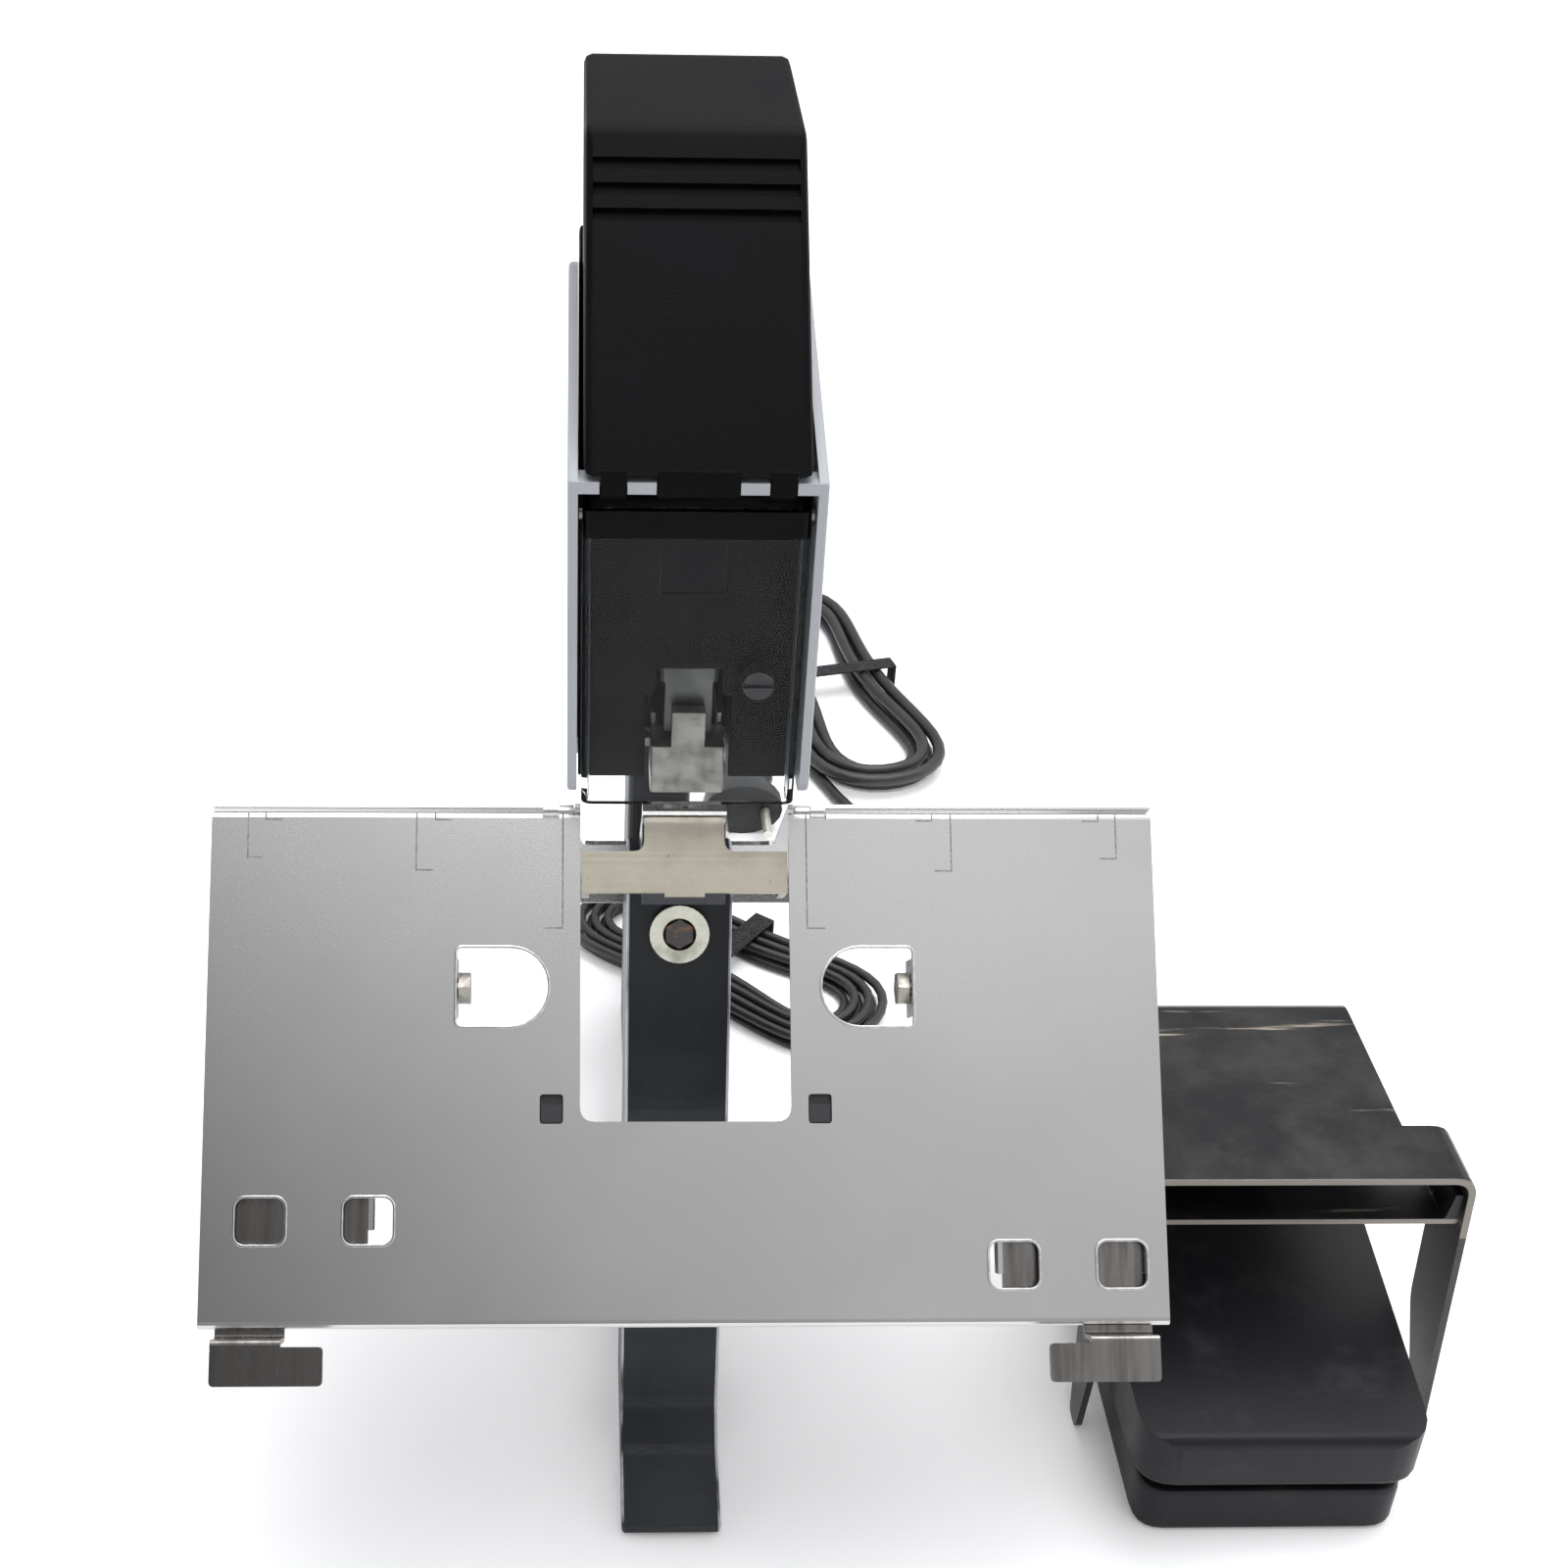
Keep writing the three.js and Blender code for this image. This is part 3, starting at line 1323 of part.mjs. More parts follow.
// Foot pedal: a low base with two hinge ears
const pedalEarTop = pedalPinHeight + pedalPinRadius * 2.2;
function makePedalBase() {
  const half = pedalBaseWidth / 2;
  const plan = rectangle(pedalMiddle - half, pedalMiddle + half, pedalBaseFront, pedalBaseBack,
    pedalCorner);
  const ears = [-1, 1].map((side) => {
    const [left, right] = mirrored(side, pedalEarHalf - pedalEarThickness, pedalEarHalf);
    return block(pedalMiddle + left, pedalMiddle + right,
      pedalPinBack - 2 * pedalPinRadius, pedalPinBack + 2 * pedalPinRadius,
      pedalBaseHeight / 2, pedalEarTop);
  });
  const rib = prismZ(
    rectangle(pedalMiddle - half + pedalCorner, pedalMiddle + half - pedalCorner,
      pedalBaseFront + pedalCorner, pedalBaseFront + pedalCorner + pedalRib, pedalRib / 3),
    pedalBaseHeight / 2, pedalBaseHeight + pedalRib / 2, 0, 2,
  );
  const pinHole = bar('x', pedalPinBore, [pedalMiddle - half, pedalPinBack, pedalPinHeight],
    pedalBaseWidth);
  const stub = new THREE.LatheGeometry([
    [0, -pedalCorner],
    [glandNeck, -pedalCorner],
    [glandNeck, hoodSheet + 2 * seat],
    [loopDiameter / 2 + pedalRib / 2, pedalLeadTaper],
    [0, pedalLeadTaper],
  ].map(([x, y]) => new THREE.Vector2(x, y)), 16);
  stub.translate(pedalMiddle, pedalBaseBack, pedalLeadHeight);
  const tray = prismZ(plan, 0, pedalBaseHeight, pedalEdge, 5);
  return cut(join(tray, ...ears, rib, solidOf(stub)), pinHole);
}

// Treadle: a moulded shell that rises towards the heel, with rounded corners all round
function makeTreadle() {
  const half = treadleWidth / 2;
  const side = [
    [treadleFront, treadleSkirt],
    [treadleBack, treadleSkirt],
    [treadleBack, treadleBackHeight],
    [treadleFront, treadleFrontHeight],
  ];
  const plan = [
    [pedalMiddle - half + treadleFlare, treadleFront],
    [pedalMiddle + half - treadleFlare, treadleFront],
    [pedalMiddle + half + treadleFlare, treadleBack],
    [pedalMiddle - half - treadleFlare, treadleBack],
  ];
  const reach = treadleWidth;
  const outer = prismX(roundedOutline(side, treadleRoundings), pedalMiddle - reach,
    pedalMiddle + reach, 0, 4);
  const walls = prismZ(roundedOutline(plan, treadleCorner), treadleSkirt, treadleBackHeight,
    pedalEdge, 5);
  const inside = prismX(
    outline(insetPoints(side, [-overrun, treadleWall, treadleWall, treadleWall])),
    pedalMiddle - reach, pedalMiddle + reach,
  );
  const hollow = prismZ(
    roundedOutline(insetPoints(plan, [treadleWall, treadleWall, treadleWall, treadleWall]),
      treadleCorner - treadleWall),
    treadleSkirt - overrun, treadleBackHeight, 0, 4,
  );
  const shell = cut(outer.intersect(walls), hollow.intersect(inside));
  const pinHole = bar('x', pedalPinBore, [pedalMiddle - reach, pedalPinBack, pedalPinHeight],
    2 * reach);
  return cut(shell, pinHole);
}
const makePedalPin = () => bar('x', pedalPinRadius,
  [pedalMiddle - treadleWidth / 2, pedalPinBack, pedalPinHeight], treadleWidth);
const treadleInnerAt = (reach) => treadleFrontHeight - treadleWall
  + (treadleBackHeight - treadleFrontHeight) * (reach - treadleFront) / (treadleBack - treadleFront);
function makePedalSpring() {
  const low = pedalBaseHeight + pedalSpringWire / 2 + seat;
  const high = treadleInnerAt(pedalSpringPlace - pedalSpringRadius)
    - pedalSpringWire / 2 - 2 * seat;
  const geometry = springGeometry('pedal_spring', pedalSpringRadius, pedalSpringWire,
    pedalSpringTurns, high - low);
  return geometry.translate(pedalMiddle, pedalSpringPlace, low);
}
function makeMicroswitch() {
  const low = pedalBaseHeight + seat;
  const body = block(
    pedalMiddle - microswitchSize.x / 2, pedalMiddle + microswitchSize.x / 2,
    pedalSpringPlace + 2 * pedalSpringRadius,
    pedalSpringPlace + 2 * pedalSpringRadius + microswitchSize.y,
    low, low + microswitchSize.z,
  );
  const button = bar('z', microswitchButton,
    [pedalMiddle, pedalSpringPlace + 2 * pedalSpringRadius + microswitchSize.y / 2, low],
    microswitchSize.z + microswitchButton, 8);
  return join(body, button);
}

// Toe guard: a splayed hoop of folded steel, its roof carried back and down behind the pedal
const hoodMiddle = hoodLeft + hoodWidth / 2;
function makeGuardHood() {
  const right = hoodLeft + hoodWidth;
  const arch = [
    [hoodLeft, 0],
    [hoodLeft + hoodSheet, 0],
    [hoodLeft + hoodSplay + hoodSheet, hoodTop - hoodSheet],
    [right - hoodSplay - hoodSheet, hoodTop - hoodSheet],
    [right - hoodSheet, 0],
    [right, 0],
    [right - hoodSplay, hoodTop],
    [hoodLeft + hoodSplay, hoodTop],
  ];
  const bends = [0, 0, hoodBend - hoodSheet, hoodBend - hoodSheet, 0, 0, hoodBend, hoodBend];
  const hoop = prismY(roundedOutline(arch, bends), hoodFront, hoodFront + hoodBand, 0, 5);
  const tipMiddle = hoodFront + hoodTipLead;
  const taper = prismX(roundedOutline([
    [tipMiddle - hoodTipWidth / 2, 0],
    [tipMiddle + hoodTipWidth / 2, 0],
    [hoodFront + hoodBand, hoodTop / 3],
    [hoodFront + hoodBand, hoodTop + overrun],
    [hoodFront, hoodTop + overrun],
    [hoodFront, hoodTop / 3],
  ], [hoodTipRound, hoodTipRound, hoodTaperRound, 0, 0, hoodTaperRound]), hoodLeft - overrun, right + overrun, 0, 5);
  const wall = pedalBaseBack + seat;
  const roof = prismX(roundedOutline([
    [hoodFront + hoodBand - hoodSheet, hoodTop],
    [hoodFront + hoodBand - hoodSheet, hoodTop - hoodSheet],
    [wall, hoodTop - hoodSheet],
    [wall, 0],
    [wall + hoodSheet, 0],
    [wall + hoodSheet, hoodTop],
  ], [0, 0, hoodBend - hoodSheet, 0, 0, hoodBend]),
  pedalMiddle - hoodPanelHalf, pedalMiddle + hoodPanelHalf, 0, 5);
  const leadHole = bar('y', glandNeck + seat, [pedalMiddle, wall - overrun, pedalLeadHeight],
    hoodSheet + 2 * overrun);
  return cut(join(hoop.intersect(taper), roof), leadHole);
}

// Shelf of the toe guard: a strip between the legs with its ends turned up
function makeGuardShelf() {
  const top = hoodTop - shelfDrop;
  const lean = hoodSplay * (hoodTop - top) / hoodTop;
  const left = hoodLeft + hoodSplay - lean + hoodSheet + 2 * seat;
  const right = 2 * hoodMiddle - left;
  const strip = roundedOutline([
    [left, top],
    [left, top - hoodSheet],
    [right, top - hoodSheet],
    [right, top],
    [right - lean / 2, top + shelfEdge],
    [right - lean / 2 - hoodSheet, top + shelfEdge],
    [right - hoodSheet * 2, top],
    [left + hoodSheet * 2, top],
    [left + lean / 2 + hoodSheet, top + shelfEdge],
    [left + lean / 2, top + shelfEdge],
  ], [0, hoodSheet, hoodSheet, 0, 0, 0, hoodSheet / 2, hoodSheet / 2, 0, 0]);
  return prismY(strip, hoodFront + hoodSheet, hoodFront + hoodBand - hoodSheet, 0, 3);
}

// Cords: each hank winds in on the floor layer, climbs, and winds out again on top
class Hank extends THREE.Curve {
  constructor(diameter, halfTurns, middle, heading, side) {
    super();
    Object.assign(this, { diameter, halfTurns, middle, heading, side });
  }
  get turns() {
    return 2 * this.halfTurns + (Math.PI - 2 * hankStart) / (2 * Math.PI);
  }
  getPoint(t, target = new THREE.Vector3()) {
    const turn = t * this.turns;
    const layer = Math.abs(this.halfTurns - turn);
    const angle = hankStart + 2 * Math.PI * turn;
    const long = (hankLengthShare + layer * hankEndPitchShare) * Math.cos(angle);
    const lobe = hankLobeShare + layer * hankLobePitchShare;
    const wide = Math.sin(angle) * (hankWaistShare + layer * hankSidePitchShare
      + lobe * Math.cos(angle) ** 2);
    const climb = THREE.MathUtils.smoothstep(
      turn, this.halfTurns - hankClimbShare, this.halfTurns + hankClimbShare,
    );
    const rise = 0.5 + climb * hankLayerShare;
    const [x, y] = this.middle;
    const along = [Math.cos(this.heading), Math.sin(this.heading)];
    return target.set(
      x + this.diameter * (long * along[0] + wide * -along[1] * this.side),
      y + this.diameter * (long * along[1] + wide * along[0] * this.side),
      this.diameter * rise,
    );
  }
  end(last) {
    return this.getPoint(last ? 1 : 0);
  }
  // A point straight out from either end
  lead(last, distance) {
    const way = this.getPoint(last ? 1 : 0).sub(this.getPoint(last ? 0.999 : 0.001)).normalize();
    return this.end(last).addScaledVector(way, distance);
  }
}

// A tube of plain round section along a curve
function tubeGeometry(curve, diameter, sides, steps) {
  const section = new THREE.Shape();
  for (let side = 0; side < sides; side += 1) {
    const angle = (2 * Math.PI * side) / sides;
    const place = [diameter / 2 * Math.cos(angle), diameter / 2 * Math.sin(angle)];
    if (side === 0) section.moveTo(...place);
    else section.lineTo(...place);
  }
  section.closePath();
  return new THREE.ExtrudeGeometry(section, { steps, extrudePath: curve, bevelEnabled: false });
}

// The least distance of a wound tube's skin to its own other turns
function printLeastGap(name, curve, diameter) {
  const count = 600;
  const points = curve.getSpacedPoints(count);
  const apart = Math.ceil((3 * diameter * count) / curve.getLength());
  let least = Infinity;
  for (let first = 0; first <= count; first += 1) {
    for (let second = first + apart; second <= count; second += 1) {
      least = Math.min(least, points[first].distanceTo(points[second]));
    }
  }
  console.log(`${name}: ${Math.round(curve.getLength())} mm, least gap to itself `
    + `${(least - diameter).toFixed(2)} mm`);
}
function makeHank(name, hank) {
  printLeastGap(name, hank, hank.diameter);
  return tubeGeometry(hank, hank.diameter, hankSides, Math.round(hank.turns * hankLoopSteps));
}

// A free stretch through points chosen by hand
function makeRun(name, points, diameter) {
  const curve = new THREE.CatmullRomCurve3(points, false, 'centripetal');
  const length = curve.getLength();
  console.log(`${name}: ${Math.round(length)} mm long`);
  const steps = Math.max(4, Math.round(length / (2.4 * diameter)));
  return tubeGeometry(curve, diameter, cordSides, steps);
}

// A strap over the waist of a hank
function makeTie(hank) {
  const { diameter } = hank;
  const outermost = hank.halfTurns + hankClimbShare;
  const half = (hankWaistShare + outermost * hankSidePitchShare + 1 / 2) * diameter + 2 * seat;
  const high = diameter * (1 + hankLayerShare) + 2 * seat;
  const arch = outline([
    [-half - tieThickness, 0],
    [-half, 0],
    [-half, high],
    [half, high],
    [half, 0],
    [half + tieThickness, 0],
    [half + tieThickness, high + tieThickness],
    [-half - tieThickness, high + tieThickness],
  ]);
  const geometry = prismGeometry(arch, tieWidth).translate(0, 0, -tieWidth / 2);
  geometry.applyMatrix4(acrossX);
  geometry.rotateZ(hank.heading);
  return geometry.translate(hank.middle[0], hank.middle[1], 0);
}

// Strain relief: a neck in the wall, a flange, and a ribbed taper round the cord
function makeGland(neckLength, cordRadius, taperLength, place, ribs) {
  const flange = glandFlange;
  const neck = glandNeck;
  const start = cordRadius + glandWall;
  const tip = cordRadius + glandTipWall;
  const profile = [[0, 0], [neck, 0], [neck, neckLength], [flange, neckLength],
    [flange, neckLength + glandFlangeThickness]];
  for (let rib = 0; rib < ribs; rib += 1) {
    const low = neckLength + glandFlangeThickness + (rib * taperLength) / ribs;
    const radius = start + ((tip - start) * rib) / ribs;
    const pitch = taperLength / ribs;
    const crest = low + pitch * glandRibShare;
    profile.push([radius, low], [radius, crest]);
    profile.push([radius - glandRib, crest], [radius - glandRib, low + pitch]);
  }
  profile.push([0, neckLength + glandFlangeThickness + taperLength]);
  const geometry = new THREE.LatheGeometry(profile.map(([x, y]) => new THREE.Vector2(x, y)), 16);
  return geometry.translate(...place);
}
const glandLength = (neckLength, taperLength) => neckLength + glandFlangeThickness + taperLength;

// Plug: an oval body with a waist for the fingers and two round pins
function makePlug() {
  const profile = [
    [0, 0], [plugRadius * 0.34, 0], [plugRadius * 0.42, plugLength * 0.22],
    [plugRadius * 0.86, plugLength * 0.42], [plugRadius * 0.74, plugLength * 0.62],
    [plugRadius, plugLength * 0.82], [plugRadius, plugLength], [0, plugLength],
  ].map(([x, y]) => new THREE.Vector2(x, y));
  const body = solidOf(new THREE.LatheGeometry(profile, 20).scale(1, 1, plugFlatShare));
  const pins = [-1, 1].map((side) => bar('y', pinRadius,
    [side * pinSpread / 2, plugLength - 1, 0], pinLength + 1, 12));
  const plug = join(body, ...pins);
  const geometry = geometryOf(plug);
  geometry.rotateZ(Math.PI);
  return geometry.translate(plugPlace[0], plugPlace[1], plugRadius * plugFlatShare);
}


// Assembly: the stand and the anvil
piece('front_column', makeFrontColumn(), blackPaint());
piece('base_rail', makeBaseRail(), blackPaint());
piece('rear_post', makeRearPost(), blackPaint());
piece('cross_foot', makeCrossFoot(), blackPaint());
piece('foot_pad_front', makeFootPad(0, -toeReach + footPadInset, columnBackFoot), blackRubber());
const sidePad = crossLength / 2 - footPadInset;
const sidePadFront = crossMiddle - footPadLength / 2;
piece('foot_pad_left', makeFootPad(-sidePad, sidePadFront, sidePadFront + footPadLength),
  blackRubber());
piece('foot_pad_right', makeFootPad(sidePad, sidePadFront, sidePadFront + footPadLength),
  blackRubber());
piece('foot_pad_rear', makeFootPad(0, postFront + footPadCorner, postBack - footPadCorner), blackRubber());
piece('anvil_block', makeAnvilBlock(), brightSteel());
piece('anvil_bracket', makeAnvilBracket(), nickelPlate(), slopeGroup);
piece('column_washer', makeColumnWasher(), nickelPlate());
piece('column_bolt', makeColumnBolt(), blackPaint());

// The saddle table, its fixed rear plate turned about the ridge
const rearSlope = new THREE.Group();
rearSlope.rotation.z = Math.PI;
const rearTilt = new THREE.Group();
rearTilt.rotation.x = slopeAngle;
rearTilt.position.z = ridgeHeight;
rearSlope.add(rearTilt);
group.add(rearSlope);
piece('front_table', makeFrontTable(), satinSteel(), slopeGroup);
piece('rear_table', makeRearTable(), satinSteel(), rearTilt);
piece('ear_bolt_left', makeEarBolt(-1), brightSteel(), slopeGroup);
piece('ear_bolt_right', makeEarBolt(1), brightSteel(), slopeGroup);
piece('table_catch_left', makeTableCatch(-1), blackPlastic(), slopeGroup);
piece('table_catch_right', makeTableCatch(1), blackPlastic(), slopeGroup);
piece('paper_stop_left', makePaperStop(-1), satinSteel(), slopeGroup);
piece('paper_stop_right', makePaperStop(1), satinSteel(), slopeGroup);

// The head
piece('left_side_cover', makeSideCover(-1), greyPlastic());
piece('right_side_cover', makeSideCover(1), greyPlastic());
piece('top_cover', makeTopCover(), blackPlastic());
piece('rear_cover', makeRearCover(), blackPlastic());
piece('nose_frame', makeNoseFrame(), blackPlastic());
piece('clear_guard', makeClearGuard(), clearPlastic());
piece('guard_hinge_pin', makeGuardPin(), brightSteel());
piece('head_chassis', makeChassis(), millSteel());
piece('magazine_body', makeMagazine(), brightSteel());
piece('magazine_nose', makeNose(), nickelPlate());
piece('staple_strip', makeStaples(), brightSteel());
piece('staple_pusher', makePusher(), blackPlastic());
piece('pusher_spring', makePusherSpring(), brightSteel());
piece('driver_blade', makeBlade(), brightSteel());
piece('plunger', makePlunger(), brightSteel());
piece('solenoid_coil', makeCoil(), copperWire());
piece('solenoid_yoke', makeYoke(), millSteel());
piece('return_spring', makeReturnSpring(), brightSteel());
piece('control_board', makeBoard(), boardGreen());
piece('switch_body', makeSwitchBody(), blackPlastic());
piece('switch_rocker', makeRocker(), blackPlastic());
piece('force_knob', makeForceKnob(), blackPlastic());

// The foot pedal and its toe guard
piece('pedal_base', makePedalBase(), blackPlastic());
piece('pedal_treadle', makeTreadle(), blackPlastic());
piece('pedal_hinge_pin', makePedalPin(), brightSteel());
piece('pedal_spring', makePedalSpring(), brightSteel());
piece('pedal_microswitch', makeMicroswitch(), blackPlastic());
piece('guard_hood', makeGuardHood(), millSteel());
piece('guard_shelf', makeGuardShelf(), millSteel());

// The cords
const at = (x, y, z) => new THREE.Vector3(x, y, z);
const mainsLow = mainsDiameter / 2 + seat;
const loopLow = loopDiameter / 2 + seat;
const mainsHank = new Hank(mainsDiameter, mainsHankHalfTurns, mainsHankMiddle, mainsHankHeading, -1);
const pedalHank = new Hank(loopDiameter, pedalHankHalfTurns, pedalHankMiddle, pedalHankHeading, -1);
const neckDepth = postWall;
const mainsTip = postBack + seat + glandFlangeThickness + mainsTaper;
const pedalTip = postBack + seat + glandFlangeThickness + pedalTaper;
piece('mains_gland', makeGland(neckDepth, mainsDiameter / 2, mainsTaper,
  [0, postBack + seat - neckDepth, mainsGlandHeight], 5), blackRubber());
piece('pedal_gland', makeGland(neckDepth, loopDiameter / 2, pedalTaper,
  [0, postBack + seat - neckDepth, pedalGlandHeight], 4), blackRubber());
piece('mains_cord_run', makeRun('mains_cord_run', [
  at(0, mainsTip + seat, mainsGlandHeight),
  at(0, mainsTip + 12, mainsGlandHeight - 1),
  at(6, mainsTip + 42, 18),
  at(22, mainsTip + 64, 6),
  at(50, mainsTip + 70, mainsLow),
  at(80, mainsTip + 78, mainsLow),
  at(95, mainsTip + 93, mainsLow),
  mainsHank.lead(false, 18),
  mainsHank.lead(false, seat),
], mainsDiameter), blackCord());
piece('mains_cord_hank', makeHank('mains_cord_hank', mainsHank), blackCord());
piece('mains_cord_tail', makeRun('mains_cord_tail', [
  mainsHank.lead(true, seat),
  mainsHank.lead(true, 8),
  at(37, 517, mainsLow + 3),
  at(19, 527, mainsLow),
  at(1, 514, mainsLow),
  at(-5, 488, mainsLow),
  at(0, 450, mainsLow),
  at(12, 420, mainsLow),
  at(29, 393, 5),
  at(plugPlace[0], plugPlace[1] + 14, plugRadius * plugFlatShare),
  at(plugPlace[0], plugPlace[1] + seat, plugRadius * plugFlatShare),
], mainsDiameter), blackCord());
piece('mains_cord_tie', makeTie(mainsHank), blackRubber());
piece('mains_plug', makePlug(), blackPlastic());
const pedalExit = pedalBaseBack + pedalLeadTaper + seat;
piece('pedal_cord_run', makeRun('pedal_cord_run', [
  at(pedalMiddle, pedalExit, pedalLeadHeight),
  at(pedalMiddle, pedalExit + 8, pedalLeadHeight - 1),
  at(pedalMiddle - 6, 98, loopLow + 1),
  at(150, 122, loopLow),
  at(118, 134, loopLow),
  at(92, 142, loopLow),
  pedalHank.lead(false, 9),
  pedalHank.lead(false, seat),
], loopDiameter), blackCord());
piece('pedal_cord_hank', makeHank('pedal_cord_hank', pedalHank), blackCord());
piece('pedal_cord_tail', makeRun('pedal_cord_tail', [
  pedalHank.lead(true, seat),
  pedalHank.lead(true, loopDiameter),
  at(-44, 244, 5),
  at(-48, 264, 4.5),
  at(-30, 281, 6.5),
  at(-9, 268, 12),
  at(1, 242, 16),
  at(0, pedalTip + 14, pedalGlandHeight),
  at(0, pedalTip + seat, pedalGlandHeight),
], loopDiameter), blackCord());
piece('pedal_cord_tie', makeTie(pedalHank), blackRubber());

export default group;
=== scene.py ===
import math

import bpy
from mathutils import Matrix, Vector


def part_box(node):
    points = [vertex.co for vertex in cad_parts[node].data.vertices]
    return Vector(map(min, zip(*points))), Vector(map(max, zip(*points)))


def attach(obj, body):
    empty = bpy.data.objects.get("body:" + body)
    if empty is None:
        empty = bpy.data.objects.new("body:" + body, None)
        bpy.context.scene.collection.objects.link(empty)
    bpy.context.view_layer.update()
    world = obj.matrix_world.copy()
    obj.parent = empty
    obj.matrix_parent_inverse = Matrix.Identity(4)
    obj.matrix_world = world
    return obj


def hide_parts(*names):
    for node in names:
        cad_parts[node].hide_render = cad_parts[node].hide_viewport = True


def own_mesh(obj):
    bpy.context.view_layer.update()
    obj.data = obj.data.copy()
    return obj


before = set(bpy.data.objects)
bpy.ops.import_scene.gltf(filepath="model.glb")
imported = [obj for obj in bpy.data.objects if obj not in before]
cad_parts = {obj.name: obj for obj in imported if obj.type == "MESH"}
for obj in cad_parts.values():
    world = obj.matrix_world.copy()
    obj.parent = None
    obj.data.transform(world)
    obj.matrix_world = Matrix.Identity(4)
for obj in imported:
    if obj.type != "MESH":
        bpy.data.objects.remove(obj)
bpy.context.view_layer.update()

# Camera: it stands a hand's width left of the machine and looks down over the table. Heading,
# pitch and roll are small turns fitted to the table's corners, and the frame is shifted sideways.
camera_place = (-0.0292, -0.4795, 0.5276)
camera_heading = math.radians(-2.27)
camera_pitch = math.radians(90 - 32.86)
camera_roll = math.radians(1.41)
camera_data = bpy.data.cameras.new("camera")
camera = bpy.data.objects.new("camera", camera_data)
bpy.context.collection.objects.link(camera)
camera_data.sensor_width = 36
camera_data.lens = 50.2
camera_data.shift_x = 0.0881
camera_data.shift_y = 0.0069
camera_data.clip_start = 0.01
camera.matrix_world = (Matrix.Translation(camera_place) @ Matrix.Rotation(camera_heading, 4, "Z")
                       @ Matrix.Rotation(camera_pitch, 4, "X")
                       @ Matrix.Rotation(camera_roll, 4, "Z"))
bpy.context.scene.camera = camera


# Studio floor: a seamless pale sheet under the machine. A Look is one finish with one Principled
# shader in it, and a Value is a number on its way through that finish, written as plain sums.
class Value:
    def __init__(self, look, socket):
        self.look = look
        self.socket = socket

    def maths(self, operation, *values):
        settings = {"operation": operation}
        return self.look.add("ShaderNodeMath", settings, dict(enumerate(values)))

    def __add__(self, other):
        return self.maths("ADD", self, other)

    def __sub__(self, other):
        return self.maths("SUBTRACT", self, other)

    def __mul__(self, other):
        return self.maths("MULTIPLY", self, other)

    def __abs__(self):
        return self.maths("ABSOLUTE", self)

    def __gt__(self, other):
        return self.maths("GREATER_THAN", self, other)

    def __lt__(self, other):
        return self.maths("LESS_THAN", self, other)

    def most(self, other):
        return self.maths("MAXIMUM", self, other)

    def ramp(self, low, high):
        settings = {"interpolation_type": "SMOOTHSTEP"}
        sockets = {"Value": self, "From Min": low, "From Max": high}
        return self.look.add("ShaderNodeMapRange", settings, sockets)


class Look:
    def __init__(self, name, colour, roughness, metallic=0.0, **fixed):
        self.material = bpy.data.materials.new(name)
        self.material.use_nodes = True
        self.tree = self.material.node_tree
        self.shader = self.tree.nodes["Principled BSDF"]
        self.shader.inputs["Base Color"].default_value = (*colour, 1)
        self.shader.inputs["Roughness"].default_value = roughness
        self.shader.inputs["Metallic"].default_value = metallic
        for socket, value in fixed.items():
            self.shader.inputs[socket.replace("_", " ")].default_value = value

    def add(self, kind, settings, sockets, output=0):
        node = self.tree.nodes.new(kind)
        for setting, value in settings.items():
            setattr(node, setting, value)
        for name, value in sockets.items():
            if isinstance(value, Value):
                self.tree.links.new(value.socket, node.inputs[name])
            else:
                node.inputs[name].default_value = value
        return Value(self, node.outputs[output])

    def place(self, turn=(0, 0, 0), stretch=(1, 1, 1)):
        point = self.add("ShaderNodeTexCoord", {}, {}, "Object")
        if turn == (0, 0, 0) and stretch == (1, 1, 1):
            return point
        sockets = {"Vector": point, "Rotation": turn, "Scale": stretch}
        return self.add("ShaderNodeMapping", {}, sockets)

    def parts(self, vector):
        return [self.add("ShaderNodeSeparateXYZ", {}, {"Vector": vector}, i) for i in range(3)]

    def noise(self, scale, detail=3.0, turn=(0, 0, 0), stretch=(1, 1, 1), rough=0.5):
        sockets = {"Vector": self.place(turn, stretch), "Scale": scale, "Detail": detail,
                   "Roughness": rough}
        return self.add("ShaderNodeTexNoise", {}, sockets)

    def mix(self, share, first, second):
        # Inputs 0, 6 and 7 of a colour Mix node are its factor and its two colours
        sockets = {0: share, 6: first, 7: second}
        plain = {index: value if isinstance(value, (Value, float, int)) else (*value, 1)
                 for index, value in sockets.items()}
        return self.add("ShaderNodeMix", {"data_type": "RGBA"}, plain, 2)

    def feed(self, socket, value):
        self.tree.links.new(value.socket, self.shader.inputs[socket])

    def bump(self, height, distance, strength=1.0):
        sockets = {"Height": height, "Distance": distance, "Strength": strength}
        self.feed("Normal", self.add("ShaderNodeBump", {}, sockets))

    def paint(self, *pieces):
        for piece in pieces:
            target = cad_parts[piece] if isinstance(piece, str) else piece
            target.data.materials.clear()
            target.data.materials.append(self.material)


bpy.ops.object.select_all(action="DESELECT")
bpy.ops.mesh.primitive_plane_add(size=8, location=(0, 0, 0))
studio_floor = bpy.context.object
studio_floor.name = "studio_floor"
floor_look = Look("pale_floor", (0.93, 0.93, 0.935), 0.9, Specular_IOR_Level=0.0,
                  Emission_Color=(1, 1, 1, 1), Emission_Strength=0.15)
floor_look.paint(studio_floor)

# Studio light: a pale room, brighter behind and above than in front, so the steel table mirrors
# a grey that fades towards its lower left corner. Wide soft lights hang over and behind it.
world = bpy.data.worlds.new("studio")
world.use_nodes = True
room = world.node_tree
bpy.context.scene.world = world
bpy.context.scene.view_settings.view_transform = "Standard"


